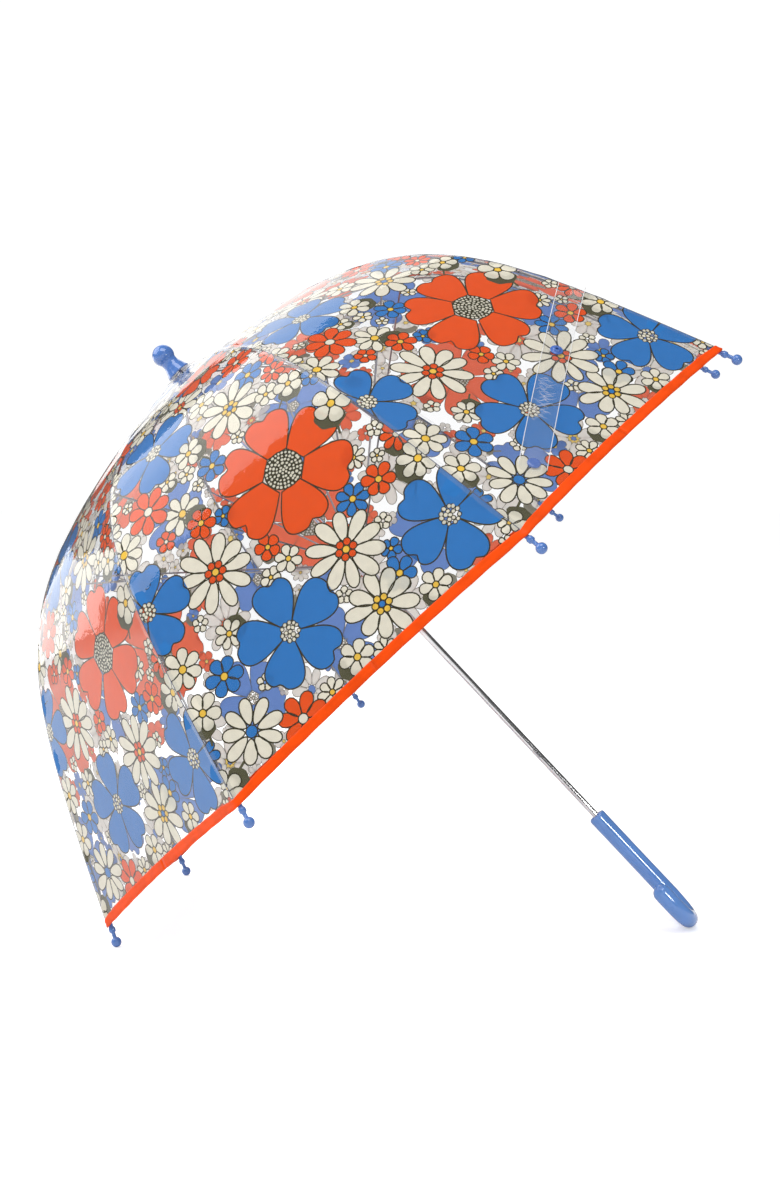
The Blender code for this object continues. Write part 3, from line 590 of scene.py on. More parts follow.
def daisy(x, along, radius, petals, turn, kind):
    level = levelFor(x, along, radius * printing["spread"])
    inner = radius * 0.20
    for index in range(petals):
        angle = turn + 2 * math.pi * index / petals + draw.uniform(-0.05, 0.05)
        width = math.pi * radius * 0.62 / petals * draw.uniform(0.80, 0.96)
        reach = radius * draw.uniform(0.90, 1.05)
        addPetal("cream", longPetal(inner, reach, width), angle, x, along, level)
    dotInk, middleInk, count = daisyMiddles[kind]
    dotRadius, ring = radius * 0.095, radius * 0.19
    for index in range(count):
        angle = turn + 2 * math.pi * (index + 0.3) / count
        px, py = x + ring * math.cos(angle), along + ring * math.sin(angle)
        dot = turnedShape(roundShape(dotRadius, 12), 0, px, py)
        layShape(dotInk, dot, level, 3)
        outlineShape(dot, level, 3.4, printing["fineLine"])
    middle = turnedShape(roundShape(dotRadius * (1.0 if count else 1.9), 14), 0, x, along)
    layShape(middleInk, middle, level, 3)
    outlineShape(middle, level, 3.4, printing["fineLine"])


def smallFlower(ink, x, along, radius, petals, turn, middleInk):
    level = levelFor(x, along, radius * 0.92)
    width = math.pi * radius * 0.60 / petals * 0.98
    for index in range(petals):
        angle = turn + 2 * math.pi * index / petals + draw.uniform(-0.06, 0.06)
        addPetal(ink, longPetal(radius * 0.16, radius * draw.uniform(0.92, 1.04), width, 14), angle, x, along,
                 level, printing["fineLine"])
    middle = turnedShape(roundShape(radius * 0.20, 12), 0, x, along)
    layShape(middleInk, middle, level, 3)
    outlineShape(middle, level, 3.4, printing["fineLine"])


def crescent(x, along, reach, thick, turn):
    # a leaf that curls round its flower, scalloped outside, with a short stalk
    level = levelFor(x + reach * 0.6 * math.cos(turn), along + reach * 0.6 * math.sin(turn), reach * 0.7)
    outer, inner = [], []
    steps, around = 14, 1.9
    for index in range(steps + 1):
        t = index / steps
        angle = turn + around * (t - 0.5)
        swell = thick * math.sin(math.pi * t) ** 0.6 * (1 + 0.10 * math.sin(t * 21))
        outer.append((x + (reach + swell) * math.cos(angle), along + (reach + swell) * math.sin(angle)))
        inner.append((x + (reach - thick * 0.7) * math.cos(angle), along + (reach - thick * 0.7) * math.sin(angle)))
    for index in range(steps):
        layShape("leaf", [outer[index], outer[index + 1], inner[index + 1], inner[index]], level, 0)
    angle = turn + draw.choice((-1, 1)) * draw.uniform(0.3, 0.6)
    c, s = math.cos(angle), math.sin(angle)
    tip, foot, wide = reach + thick * 2.1, reach + thick * 0.4, thick * 0.17
    layShape("leaf", [(x + foot * c - wide * s, along + foot * s + wide * c),
                      (x + foot * c + wide * s, along + foot * s - wide * c),
                      (x + tip * c + wide * s, along + tip * s - wide * c),
                      (x + tip * c - wide * s, along + tip * s + wide * c)], level, 0)


def acrossAt(share, along):
    return (share - 0.5) * float(goreWidth(along))


# Flowers over the edges of the big ones: ink, share across the gore, distance down the rib, radius,
# petals, colour of the middle, direction of the crescent leaf (or None).
topOnes = [
    ("cream", 0.050, 0.300, 0.0155, 5, "yellow", 0.9),
    ("cream", 0.550, 0.241, 0.0130, 6, "yellow", 2.6),
    ("cream", 0.080, 0.259, 0.0120, 5, "yellow", 1.2),
    ("cream", 0.165, 0.252, 0.0100, 5, "yellow", None),
    ("blue", 0.850, 0.400, 0.0150, 6, "yellow", None),
    ("orange", 0.650, 0.299, 0.0125, 6, "yellow", -1.6),
]
# The large flowers: ink, share, distance down, radius, petals, turn, radius of the middle.
bigOnes = [
    ("orange", 0.320, 0.315, 0.052, 6, 0.30, 0.0152),
    ("blue", 0.620, 0.411, 0.041, 5, 0.75, 0.0080),
    ("blue", 0.085, 0.428, 0.039, 5, 0.10, 0.0080),
    ("blue", 0.970, 0.320, 0.036, 5, 0.40, 0.0075),
    ("blue", 0.700, 0.206, 0.038, 5, 1.30, 0.0075),
    ("orange", 0.250, 0.150, 0.026, 6, 0.80, 0.0072),
]
# Daisies: share, distance down, radius, petals, turn, kind of middle.
daisies = [
    (0.700, 0.337, 0.0300, 10, 0.20, "orange"),
    (0.350, 0.395, 0.0295, 10, 0.50, "orange"),
    (0.380, 0.443, 0.0265, 9, 0.35, "blue"),
    (0.865, 0.444, 0.0245, 9, 0.10, "plain"),
    (0.300, 0.236, 0.0260, 9, 0.60, "blue"),
    (0.480, 0.178, 0.0220, 9, 0.15, "orange"),
    (0.700, 0.130, 0.0180, 8, 0.25, "blue"),
]
# Smaller flowers, the same way round as the first list.
smallOnes = [
    ("orange", 0.810, 0.255, 0.0195, 7, "cream", None),
    ("cream", 0.690, 0.281, 0.0165, 8, "yellow", None),
    ("cream", 0.970, 0.268, 0.0180, 8, "yellow", None),
    ("blue", 0.290, 0.435, 0.0130, 6, "yellow", None),
    ("blue", 0.140, 0.219, 0.0135, 6, "yellow", None),
    ("cream", 0.950, 0.373, 0.0160, 7, "yellow", None),
    ("orange", 0.730, 0.464, 0.0185, 7, "cream", None),
    ("cream", 0.520, 0.459, 0.0135, 6, "yellow", 0.4),
    ("cream", 0.960, 0.408, 0.0145, 6, "yellow", 0.8),
    ("cream", 0.020, 0.380, 0.0150, 7, "yellow", 0.3),
    ("orange", 0.140, 0.372, 0.0130, 6, "yellow", None),
    ("cream", 0.245, 0.459, 0.0120, 6, "yellow", 0.9),
    ("orange", 0.110, 0.190, 0.0150, 7, "cream", None),
    ("blue", 0.500, 0.268, 0.0125, 6, "yellow", None),
    ("orange", 0.520, 0.352, 0.0105, 5, "yellow", None),
]
# Tiny ones of five round petals: share, distance down.
tinyOnes = [(0.83, 0.358), (0.44, 0.419), (0.03, 0.340), (0.76, 0.425), (0.22, 0.398), (0.93, 0.300)]
tiny = {"radius": 0.006, "petal": 0.0026, "ring": 0.0038, "line": 0.0008}


def layFlower(ink, share, along, radius, petals, middleInk, leaf):
    x = acrossAt(share, along)
    smallFlower(ink, x, along, radius, petals, draw.uniform(0, 3), middleInk)
    if leaf is not None:
        crescent(x, along, radius * printing["leafReach"], radius * printing["leafThick"], leaf)


for flower in topOnes:
    layFlower(*flower)
for ink, share, along, radius, petals, turn, centre in bigOnes:
    bigFlower(ink, acrossAt(share, along), along, radius, petals, turn, centre)
for share, along, radius, petals, turn, kind in daisies:
    daisy(acrossAt(share, along), along, radius, petals, turn, kind)
for flower in smallOnes:
    layFlower(*flower)
for share, along in tinyOnes:
    x = acrossAt(share, along)
    level = levelFor(x, along, tiny["radius"])
    for index in range(5):
        angle = 2 * math.pi * (index + 0.2) / 5
        px, py = x + tiny["ring"] * math.cos(angle), along + tiny["ring"] * math.sin(angle)
        petal = turnedShape(roundShape(tiny["petal"], 10), 0, px, py)
        layShape("cream", petal, level, 1)
        outlineShape(petal, level, 2, tiny["line"])


def roomFor(x, along, radius, overlap):
    return all(math.hypot(px - x, pa - along) > (pr + radius) * overlap for px, pa, pr, level in placed)


# Smaller flowers fill what is left, from medium to tiny: radius, tries, how close they may come, inks.
fillers = [
    (0.0165, 240, 0.88, ("cream", "blue", "orange")),
    (0.0120, 420, 0.88, ("cream", "cream", "blue", "cream", "orange")),
    (0.0085, 420, 0.90, ("cream", "cream", "cream", "blue", "orange")),
    (0.0060, 260, 0.94, ("cream", "cream")),
]
for radius, tries, overlap, choice in fillers:
    for attempt in range(tries):
        along = printing["fillFrom"] + printing["fillOver"] * draw.random() ** 0.75
        share = draw.uniform(-0.02, 1.02)
        size = radius * draw.uniform(0.88, 1.12)
        if not roomFor(acrossAt(share, along), along, size, overlap):
            continue
        ink = draw.choice(choice)
        middleInk = {"cream": "yellow", "orange": draw.choice(("cream", "yellow")), "blue": "yellow"}[ink]
        petals = 5 if size < 0.009 else draw.choice((6, 7, 8))
        leaf = draw.uniform(0, 2 * math.pi) if 0.008 < size and draw.random() < 0.4 else None
        layFlower(ink, share, along, size, petals, middleInk, leaf)
print("flowers laid out:", len(placed))

filmTop = alongAtRadius(canopy["holeRadius"])
printTop = alongAtRadius(canopy["holeRadius"] + 0.004)
filmEnd = canopy["ribLength"] - 0.0015  # inside the folded tape
rowLines = list(np.arange(filmTop, filmEnd, canopy["rowStep"])) + [filmEnd]
columnLines = [i / canopy["columns"] for i in range(canopy["columns"] + 1)]


def flattened(shapes):
    # cuts the flat shapes to the gore and into cells that can bend with the film
    form = bmesh.new()
    for points, lift in shapes:
        verts = []
        for x, along in points:
            share = 0.5 + x / max(float(goreWidth(along)), 0.002)
            verts.append(form.verts.new((share, along, lift)))
        form.faces.new(verts)
    bmesh.ops.triangulate(form, faces=form.faces, ngon_method="BEAUTY")
    limits = [((0.0006, 0, 0), (-1, 0, 0)), ((0.9994, 0, 0), (1, 0, 0)),
              ((0, printTop, 0), (0, -1, 0)), ((0, filmEnd, 0), (0, 1, 0))]
    rows = [((0, line, 0), (0, 1, 0)) for line in rowLines]
    columns = [((line, 0, 0), (1, 0, 0)) for line in columnLines[1:-1]]
    for index, (spot, side) in enumerate(limits + rows + columns):
        everything = list(form.verts) + list(form.edges) + list(form.faces)
        bmesh.ops.bisect_plane(form, geom=everything, dist=1e-7, plane_co=spot, plane_no=side,
                               clear_outer=index < len(limits))
    form.verts.ensure_lookup_table()
    form.verts.index_update()
    points = np.array([tuple(v.co) for v in form.verts])
    faces = [[v.index for v in face.verts] for face in form.faces]
    form.free()
    return points, faces


def halfOf(points, faces, low, high):
    # the faces between two shares, with their own points
    middles = np.array([points[face, 0].mean() for face in faces])
    chosen = [face for face, middle in zip(faces, middles) if low <= middle < high]
    used = sorted({i for face in chosen for i in face})
    renumber = {old: new for new, old in enumerate(used)}
    return points[used], [[renumber[i] for i in face] for face in chosen]


mapLength = 0.5  # the length of film that the bake map covers, so that a whole gore fits in it


def wrapped(rib, halves):
    # the halves of two gores that hang on one rib, where they lie
    points, normals, maps, faces = [], [], [], []
    count = 0
    for gore, (flat, cells) in ((rib, halves[0]), (rib - 1, halves[1])):
        share, along = flat[:, 0], flat[:, 1]
        points.append(onGore(gore, flat))
        normals.append(filmNormals(gore, np.clip(share, 0.01, 0.99), along) @ np.array(standing.to_3x3()).T)
        maps.append(np.stack([0.5 + share if gore == rib else share - 0.5, along / mapLength], -1))
        faces += [[i + count for i in cell] for cell in cells]
        count += len(flat)
    points, normals = np.concatenate(points), np.concatenate(normals)
    facing = []
    for face in faces:
        a, b, c = points[face[0]], points[face[1]], points[face[2]]
        facing.append(face if np.dot(np.cross(b - a, c - a), normals[face[0]]) > 0 else face[::-1])
    return points, facing, normals, np.concatenate(maps)


def foldWith(piece, rib):
    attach(piece, f"rib_body_{rib + 1}")
    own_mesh(piece)


# Film
gridShare, gridAlong = np.meshgrid(np.array(columnLines), np.array(rowLines))
gridFlat = np.stack([gridShare.ravel(), gridAlong.ravel(), np.zeros(gridShare.size)], -1)
wide = len(columnLines)
gridFaces = [[r * wide + c, r * wide + c + 1, (r + 1) * wide + c + 1, (r + 1) * wide + c]
             for r in range(len(rowLines) - 1) for c in range(wide - 1)]
filmHalves = [halfOf(gridFlat, gridFaces, 0, 0.5), halfOf(gridFlat, gridFaces, 0.5, 1)]
for rib in range(ribCount):
    points, faces, normals, maps = wrapped(rib, filmHalves)
    film = newPiece(f"canopy_film_{rib + 1}", points, faces, clearFilm, normals, maps)
    foldWith(film, rib)
    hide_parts(f"canopy_panel_{rib + 1}")

goesWith = {rib: [] for rib in range(ribCount)}
for name, material in inks.items():
    flat, cells = flattened(inkShapes[name])
    halves = [halfOf(flat, cells, 0, 0.5), halfOf(flat, cells, 0.5, 1)]
    for rib in range(ribCount):
        points, faces, normals, maps = wrapped(rib, halves)
        piece = newPiece(f"print_{name}_{rib + 1}", points, faces, material, normals, maps)
        foldWith(piece, rib)
        goesWith[rib].append(piece)
    print("printed", name, len(cells), "cells per gore")

# Hem binding: folded tape round the rim, from the middle of one gore to the middle of the next
hem = {
    "out": 0.0009,  # how far the tape stands off the film, on each side
    "columns": 72,
    "gather": 0.0006,  # height of the gathers, most of them near a rib
    "gatherReach": 0.012,
    "pullUp": 0.0018,  # how much narrower the tape gets where it meets a rib
    "pullReach": 0.016,
}
hemTop, hemEnd = canopy["ribLength"] - canopy["hemWidth"], canopy["ribLength"]


def hemSection():
    # (distance down the rib, lift from the film), round the folded edge and back
    out, back = hem["out"], -hem["out"]
    width = hemEnd - hemTop
    outer = [(hemTop, out * 0.35), (hemTop + 0.0005, out * 0.8), (hemTop + 0.0016, out),
             (hemTop + width * 0.32, out * 0.92), (hemTop + width * 0.52, out * 0.98),
             (hemTop + width * 0.75, out * 1.15), (hemEnd - 0.0008, out), (hemEnd - 0.0001, out * 0.45)]
    inner = [(hemEnd, 0.0), (hemEnd - 0.0001, back * 0.45), (hemEnd - 0.0008, back),
             (hemTop + width * 0.6, back * 1.1), (hemTop + 0.0012, back), (hemTop, back * 0.35)]
    return outer + inner


def hemPoints(gore, share):
    spots = []
    for along, lift in hemSection():
        edge = np.minimum(share, 1 - share) * float(goreWidth(hemEnd))
        pucker = np.sin(share * 210 + gore) * 0.5 + np.sin(share * 97 + along * 900 + gore * 2) * 0.5
        gather = hem["gather"] * pucker * (0.16 + np.exp(-edge / hem["gatherReach"]))
        inward = np.clip(1 - edge / 0.004, 0, 1) * 0.0006
        lifts = lift + np.sign(lift) * gather * 0.5 - inward * np.sign(lift) * 0.3
        inner = (hemEnd - along) / (hemEnd - hemTop)
        shift = along + 0.0003 * np.sin(share * 64 + gore * 3) * (0.3 + np.exp(-edge / 0.02))
        shift = shift + hem["pullUp"] * inner * np.exp(-edge / hem["pullReach"])
        spots.append(filmPoints(gore, share, np.minimum(shift, hemEnd), lifts))
    return np.stack(spots, 1)  # column, section point, xyz


for rib in range(ribCount):
    shares = np.linspace(0, 0.5, hem["columns"] // 2 + 1)
    near = hemPoints(rib, shares[::-1])
    far = hemPoints(rib - 1, 1 - shares)
    joined = np.concatenate([near[:-1], (near[-1:] + far[:1]) / 2, far[1:]])
    faces = tubeFaces(joined.shape[0], joined.shape[1])
    tape = newPiece(f"hem_binding_{rib + 1}", place(joined), faces, bindingOrange)
    faceOutward(tape)
    foldWith(tape, rib)
    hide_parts(f"hem_tape_{rib + 1}")
    goesWith[rib].append(tape)
print("hem bound")

# Seams over the ribs: a welded strip on the film, and a line of thread under it
seam = {
    "strip": 0.0032,  # width on each side of the rib
    "stripLift": 0.00012,
    "stripFrom": 0.012,
    "thread": 0.00028,  # radius
    "threadLift": -0.0002,
    "threadStep": 0.004,
    "from": 0.020,
    "to": 0.470,
}
stripRows = [along for along in rowLines if along > seam["stripFrom"]]
stripCells = [[2 * r, 2 * r + 1, 2 * r + 3, 2 * r + 2] for r in range(len(stripRows) - 1)]
stripFlat = []
for along in stripRows:
    width = seam["strip"] / max(float(goreWidth(along)), 0.004)
    stripFlat += [(0.0, along, seam["stripLift"]), (width, along, seam["stripLift"])]
stripFlat = np.array(stripFlat)
stripMirrored = stripFlat * np.array([-1, 1, 1]) + np.array([1, 0, 0])
for rib in range(ribCount):
    stops = np.arange(seam["from"], seam["to"], seam["threadStep"])
    line = [Vector(p) for p in onGore(rib, [(0.0, along, seam["threadLift"]) for along in stops])]
    thread = threadAlong(f"seam_thread_{rib + 1}", line, seam["thread"], threadDark)
    foldWith(thread, rib)
    goesWith[rib].append(thread)
    points, faces, normals, maps = wrapped(rib, [(stripFlat, stripCells), (stripMirrored, stripCells)])
    strip = newPiece(f"seam_weld_{rib + 1}", points, faces, strapFilm, normals, maps)
    foldWith(strip, rib)
    goesWith[rib].append(strip)
print("seams sewn")

# Rib tips
# Radii of the turned shape, the ball's distance past the hem, and how far the sleeve goes back over the rib.
tip = {"ball": 0.0040, "neck": 0.0015, "collar": 0.0026, "sleeve": 0.0018, "reach": 0.0125, "sleeveLength": 0.0150}


def tipProfile():
    ball, neck, collar, sleeve = tip["ball"], tip["neck"], tip["collar"], tip["sleeve"]
    neckAngle = math.pi - math.asin(neck / ball)
    rows = [(ball * math.sin(neckAngle * i / 16), ball * math.cos(neckAngle * i / 16)) for i in range(17)]
    base, end = -tip["reach"], -tip["reach"] - tip["sleeveLength"]
    rows += [(neck, base + 0.0052), (neck + 0.0003, base + 0.0048), (collar - 0.0002, base + 0.0043),
             (collar, base + 0.0040), (collar, base + 0.0016), (collar - 0.0002, base + 0.0012),
             (sleeve, base + 0.0002), (sleeve, end + 0.0003), (sleeve - 0.0003, end), (0.0, end)]
    return rows


ballAlong = canopy["ribLength"] + tip["reach"]
for rib in range(ribCount):
    piece = lathe(f"rib_ball_{rib + 1}", tipProfile(), tipBlue, 32)
    lean = float(leanAt(ballAlong))
    radius, height = (float(v) for v in ribLine(ballAlong))
    turn = Matrix.Rotation(-halfStep - 2 * halfStep * rib, 4, "Z")
    spot = Matrix.Translation((radius, 0, height)) @ Matrix.Rotation(math.pi / 2 + lean, 4, "Y")
    moveMesh(piece, standing @ turn @ spot)
    takePlace(piece, f"rib_body_{rib + 1}", f"rib_tip_{rib + 1}")


def reachOf(node):
    # how far a CAD node goes down and up the shaft's line, from the crown
    heights = [up.dot(Vector(v.co) - crown) for v in frame["nodes"][node].data.vertices]
    return min(heights), max(heights)


# Ferrule and the frill under it
ferrule = {"ball": 0.0091, "neck": 0.0067, "base": 0.0102, "rim": 0.0010, "bore": 0.0032, "boreDepth": 0.004}
ferruleFoot, ferruleTop = reachOf("ferrule")


def ferruleProfile():
    ball, base, bore = ferrule["ball"], ferrule["base"], ferrule["bore"]
    middle = ferruleTop - ball
    neckAngle = math.pi - math.asin(ferrule["neck"] / ball) - 0.06
    rows = [(ball * math.sin(neckAngle * i / 20), middle + ball * math.cos(neckAngle * i / 20)) for i in range(21)]
    startRadius, startHeight = rows[-1]
    end = ferruleFoot + ferrule["rim"]
    for index in range(1, 15):
        share = index / 14
        dip = -0.0004 * math.sin(math.pi * min(share * 1.6, 1))
        radius = startRadius + (base - startRadius) * share**1.9 + dip
        rows.append((radius, startHeight + (end - startHeight) * share))
    boreEnd = ferruleFoot + ferrule["boreDepth"]
    rows += [(base + 0.0001, end - 0.0003), (base, ferruleFoot + 0.0002), (base - 0.0003, ferruleFoot),
             (bore, ferruleFoot), (bore, boreEnd), (0.0, boreEnd)]
    return rows


cap = lathe("ferrule_cap", ferruleProfile(), tipBlue, 56)
moveMesh(cap, standing)
takePlace(cap, "shaft_body", "ferrule")

frill = {"radius": 0.0150, "hole": 0.0040, "waves": 11, "height": 0.0011}


def frillWave(radius, height, angle):
    grow = max(0.0, (radius - 0.006) / 0.009)
    wave = math.sin(angle * frill["waves"]) + 0.5 * math.sin(angle * (frill["waves"] * 2 + 1) + 1)
    return radius * (1 + 0.05 * grow * math.sin(angle * 5 + 1)), height + frill["height"] * grow * (0.9 + 0.6 * wave)


frillRows = []
for index in range(9):
    radius = frill["hole"] + (frill["radius"] - frill["hole"]) * index / 8
    height = float(ribLine(alongAtRadius(radius), canopy["filmOut"] + 0.0005)[1])
    frillRows.append((radius, height))
rosette = lathe("crown_frill", frillRows, strapFilm, 132, frillWave)
moveMesh(rosette, standing)
takePlace(rosette, "shaft_body", "crown_washer")
print("ferrule and tips turned")

# Handle
handle = {
    "radius": 0.0072,
    "length": 0.115,
    "waist": 0.012,  # share by which the grip thins in its middle
    "hookRadius": 0.023,
    "hookArm": 0.017,
    "hookTurn": math.radians(-88.0),
    # the rounded top edge: distance down, share of the radius
    "topEdge": ((0.0, 0.60), (0.0, 0.80), (0.00025, 0.90), (0.0008, 0.965), (0.0016, 1.0), (0.0026, 1.01),
                (0.0040, 1.0)),
}
handleTop = reachOf("handle")[1]


def buildHandle():
    line, radii = [], []
    radius, hookRadius = handle["radius"], handle["hookRadius"]
    bendHeight = handleTop - handle["length"] + radius + hookRadius
    for below, share in handle["topEdge"]:
        line.append(Vector((0, 0, handleTop - below)))
        radii.append(radius * share)
    gripTop, steps = line[-1].z, 26
    for index in range(1, steps):
        line.append(Vector((0, 0, gripTop + (bendHeight - gripTop) * index / steps)))
        radii.append(radius * (1.0 - handle["waist"] * math.sin(math.pi * index / steps)))
    for index in range(41):
        angle = math.pi * index / 40
        line.append(Vector((hookRadius * (1 - math.cos(angle)), 0, bendHeight - hookRadius * math.sin(angle))))
        radii.append(radius)
    end = bendHeight + handle["hookArm"]
    for index in range(9):
        angle = math.pi / 2 * index / 8
        line.append(Vector((2 * hookRadius, 0, end - radius * (1 - math.sin(angle)))))
        radii.append(radius * max(math.cos(angle), 0.04))
    return sweep("handle_grip", line, radii, Vector((0, 1, 0)), handleBlue, 40)


grip = buildHandle()
moveMesh(grip, standing @ Matrix.Rotation(handle["hookTurn"], 4, "Z"))
takePlace(grip, "shaft_body", "handle")
print("handle bent")

# Closing strap with its two studs
strap = {
    "width": 0.020,
    "from": (0.035, 0.119),  # share across the gore, distance above the hem
    "to": (0.830, 0.027),
    "lift": 0.0008,
    "rise": 0.0024,  # how much further from the film its loose end stands
    "rootCurl": 0.0045,
    "stud": 0.36,  # places along the strap, as shares of its length
    "socket": 0.94,
    "weld": (0.52, 0.74),
    "roundFrom": 0.965,
    "studRadius": 0.0048,
    "crinkle": 0.00035,
    "curl": 0.0006,
    "edge": 0.00032,
}


def strapFlat(across, aboveHem):
    along = canopy["ribLength"] - aboveHem
    return Vector(((across - 0.5) * float(goreWidth(along)), along))


strapStart, strapEnd = strapFlat(*strap["from"]), strapFlat(*strap["to"])
strapLine = (strapEnd - strapStart).normalized()
strapLength = (strapEnd - strapStart).length


def strapLift(share):
    risen = min(max((share - 0.45) / 0.4, 0), 1)
    root = strap["rootCurl"] * math.exp(-((share / 0.045) ** 2))
    return strap["lift"] + strap["rise"] * 0.5 * (1 - math.cos(math.pi * risen)) + root


def strapPoint(share, side, lift):
    spot = strapStart + (strapEnd - strapStart) * share + Vector((-strapLine.y, strapLine.x)) * side
    return 0.5 + spot.x / float(goreWidth(spot.y)), spot.y, lift


def buildStrap():
    rows, columns = 90, 10
    weldMiddle = sum(strap["weld"]) / 2
    flat, faces = [], []
    for row in range(rows + 1):
        share = row / rows
        for column in range(columns + 1):
            side = strap["width"] * (column / columns - 0.5)
            past = max(share - strap["roundFrom"], 0) / (1 - strap["roundFrom"])
            rounding = math.sqrt(max(1 - past**2, 0.0)) * 0.5 + 0.5
            inWeld = math.exp(-(((share - weldMiddle) / 0.11) ** 4))
            wave = math.sin(share * 330 + column * 1.3) * math.cos(column * 2.1 + share * 40)
            curl = strap["curl"] * (2 * side / strap["width"]) ** 2
            flat.append(strapPoint(share, side * rounding, strapLift(share) + strap["crinkle"] * inWeld * wave + curl))
    for row in range(rows):
        for column in range(columns):
            a = row * (columns + 1) + column
            faces.append([a, a + 1, a + columns + 2, a + columns + 1])
    return newPiece("closing_strap", onGore(0, flat), faces, strapFilm)


def studPlace(share, lift):
    # a matrix that sets a stud flat on the strap
    flat = [strapPoint(share, 0, lift), strapPoint(share + 0.03, 0, lift), strapPoint(share, 0.005, lift)]
    spots = [Vector(p) for p in onGore(0, flat)]
    ahead = (spots[1] - spots[0]).normalized()
    above = ahead.cross(spots[2] - spots[0]).normalized()
    away = spots[0] - crown
    if above.dot(away - up * away.dot(up)) < 0:
        above = -above
    found = Matrix((ahead, above.cross(ahead), above)).transposed().to_4x4()
    found.translation = spots[0]
    return found


ribbon = buildStrap()
strapEdges = []
for index, side in enumerate((-strap["width"] / 2, strap["width"] / 2)):
    shares = [0.97 * i / 80 for i in range(81)]
    flat = [strapPoint(share, side, strapLift(share) + strap["curl"]) for share in shares]
    line = [Vector(p) for p in onGore(0, flat)]
    strapEdges.append(threadAlong(f"strap_edge_{index + 1}", line, strap["edge"], milkyEdge))

# The strap's weld: short curved marks across it
weldFlat, weldFaces = [], []
weldFrom, weldTo = strap["weld"]
for index in range(46):
    share = weldFrom + (weldTo - weldFrom) * (index + draw.uniform(-0.3, 0.3)) / 45
    start = strap["width"] * draw.uniform(-0.46, -0.10)
    width = strap["width"] * draw.uniform(0.12, 0.50)
    for step in range(5):
        t = step / 4
        wave = 0.0016 * math.sin(index * 2.1 + t * 4) / strapLength
        for side in (-1, 1):
            bit = share + wave + side * 0.00016 * math.sin(math.pi * (t * 0.8 + 0.1)) / strapLength
            weldFlat.append(strapPoint(bit, start + width * t, strapLift(share) + 0.00075))
    first = index * 10
    weldFaces += [[first + 2 * i, first + 2 * i + 1, first + 2 * i + 3, first + 2 * i + 2] for i in range(4)]
weld = newPiece("strap_weld", onGore(0, weldFlat), weldFaces, milkyEdge)
for piece in strapEdges + [weld]:
    foldWith(piece, 0)
size = strap["studRadius"]
studRows = [(0.0012, 0.0002), (0.0012, 0.0016), (0.0016, 0.0021), (0.0022, 0.0021), (0.0026, 0.0016),
            (0.0028, 0.0009), (0.0036, 0.0008), (size - 0.0004, 0.0009), (size, 0.0004), (size, 0.0001),
            (size - 0.0003, -0.0002), (0.0012, -0.0002)]
socketRows = [(0.0, 0.0010), (0.0030, 0.0010), (size - 0.0006, 0.0009), (size, 0.0004), (size, -0.0002),
              (size - 0.0004, -0.0005), (0.0, -0.0005)]
stud = lathe("strap_stud", studRows, studBlue, 40)
moveMesh(stud, studPlace(strap["stud"], strapLift(strap["stud"]) + 0.0005))
socket = lathe("strap_socket", socketRows, studBlue, 40)
moveMesh(socket, studPlace(strap["socket"], 0.0012))
for piece, node in ((ribbon, "strap"), (stud, "snap_stud"), (socket, "snap_socket")):
    foldWith(piece, 0)
    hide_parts(node)
print("strap made, length", round(strapLength, 4))

# CAD nodes that stay, with their finishes
finishes = {"shaft": chromePlate, "crown_hub": hubPlastic, "runner": hubPlastic}
wires = ["stop_pin", "crown_wire", "runner_wire", "upper_catch", "lower_catch"]
wires += [f"{part}_{k}" for part in ("rib", "stretcher") for k in range(1, ribCount + 1)]
finishes.update({name: drawnWire for name in wires})
for name, look in finishes.items():
    materials = frame["nodes"][name].data.materials
    materials.clear()
    materials.append(look)

# Floor, light and camera
studio = {
    "floor": (0.90, 0.90, 0.90, 1),
    "floorHalf": 12,
    "floorGlow": 0.47,  # seen by the camera only, so that the floor melts into the backdrop
    "backdrop": 1.06,  # what the camera sees
    "sky": 0.62,  # what lights the umbrella
    "room": 0.10,  # what shiny things see
}
world = bpy.data.worlds.new("studio")
bpy.context.scene.world = world
world.use_nodes = True
sky = world.node_tree.nodes["Background"]
path = addNode(world.node_tree, "LightPath")
strength = studio["sky"]
for ray, power in (("Is Glossy Ray", "room"), ("Is Camera Ray", "backdrop")):
    blend = addNode(world.node_tree, "Mix", Factor=path.outputs[ray], A=strength, B=studio[power])
    strength = blend.outputs["Result"]
feed(world.node_tree, sky.inputs["Strength"], strength)
feed(world.node_tree, sky.inputs["Color"], (1, 1, 1, 1))

half = studio["floorHalf"]
floorMesh = bpy.data.meshes.new("floor")
floorMesh.from_pydata([(-half, -half, 0), (half, -half, 0), (half, half, 0), (-half, half, 0)], [], [(0, 1, 2, 3)])
floor = bpy.data.objects.new("floor", floorMesh)
bpy.context.scene.collection.objects.link(floor)
floorLook, floorTree, floorShader = newMaterial("paleFloor")
cameraRay = addNode(floorTree, "LightPath").outputs["Is Camera Ray"]
for socket, value in (("Base Color", studio["floor"]), ("Roughness", 0.9), ("Specular IOR Level", 0.1),
                      ("Emission Color", (1, 1, 1, 1)),
                      ("Emission Strength", addRange(floorTree, cameraRay, 0, studio["floorGlow"]))):
    feed(floorTree, floorShader.inputs[socket], value)
floorMesh.materials.append(floorLook)

canopyAim, handleAim = Vector((-0.04, -0.10, 0.33)), Vector((0.19, 0, 0.06))


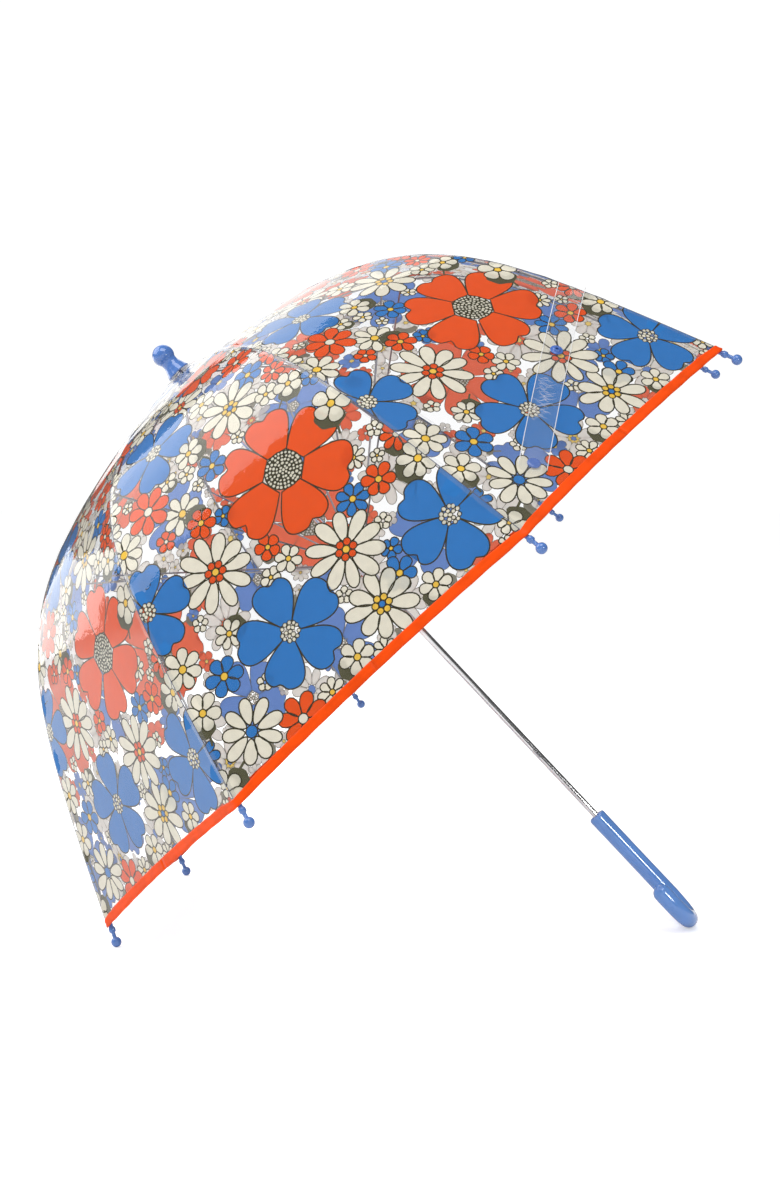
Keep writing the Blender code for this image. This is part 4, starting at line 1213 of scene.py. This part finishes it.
def softBox(name, turn, rise, distance, size, brightness, aim=canopyAim, roll=0, lights=True):
    # turn is to the right of the camera's side, rise is up from level, roll tips the box, all in degrees;
    # one that lights nothing is only seen in shiny things
    a, b = math.radians(turn), math.radians(rise)
    away = Vector((math.sin(a) * math.cos(b), -math.cos(a) * math.cos(b), math.sin(b)))
    lamp = bpy.data.lights.new(name, "AREA")
    lamp.shape = "RECTANGLE"
    lamp.size, lamp.size_y = size
    lamp.energy = brightness * math.pi * size[0] * size[1]
    thing = bpy.data.objects.new(name, lamp)
    thing.location = aim + away * distance
    tipped = away.to_track_quat("Z", "Y") @ Quaternion((0, 0, 1), math.radians(roll))
    thing.rotation_euler = tipped.to_euler()
    thing.visible_camera = False
    thing.visible_diffuse = lights
    bpy.context.scene.collection.objects.link(thing)


softBox("topLight", -5, 66, 1.9, (1.5, 1.1), 3.6)
softBox("leftBox", -95, 36, 1.6, (1.66, 1.30), 2.3)
softBox("backBox", -166, 30, 1.6, (0.90, 1.55), 1.25)
softBox("lowCard", -127, -3, 1.6, (0.85, 0.32), 1.8)
softBox("frontBox", 3, 8, 2.3, (3.2, 0.9), 0.8, roll=43)
softBox("streakLight", 38.4, 20.3, 2.1, (0.42, 0.30), 22, handleAim, lights=False)

# Where the camera stands: degrees to the right of level front and above level, metres from its target.
view = {"azimuth": 5.83, "elevation": 4.05, "distance": 1.6485, "target": (-0.0016, 0, 0.2619), "lens": 60.66}
turnBy, rise = math.radians(view["azimuth"]), math.radians(view["elevation"])
back = Vector((math.sin(turnBy) * math.cos(rise), -math.cos(turnBy) * math.cos(rise), math.sin(rise)))
cameraData = bpy.data.cameras.new("camera")
cameraData.lens = view["lens"]
cameraData.sensor_width = 36
camera = bpy.data.objects.new("camera", cameraData)
camera.location = Vector(view["target"]) + back * view["distance"]
camera.rotation_euler = back.to_track_quat("Z", "Y").to_euler()
bpy.context.scene.collection.objects.link(camera)
bpy.context.scene.camera = camera
bpy.context.scene.view_settings.view_transform = "Standard"

bpy.context.view_layer.update()
print("scene ready")
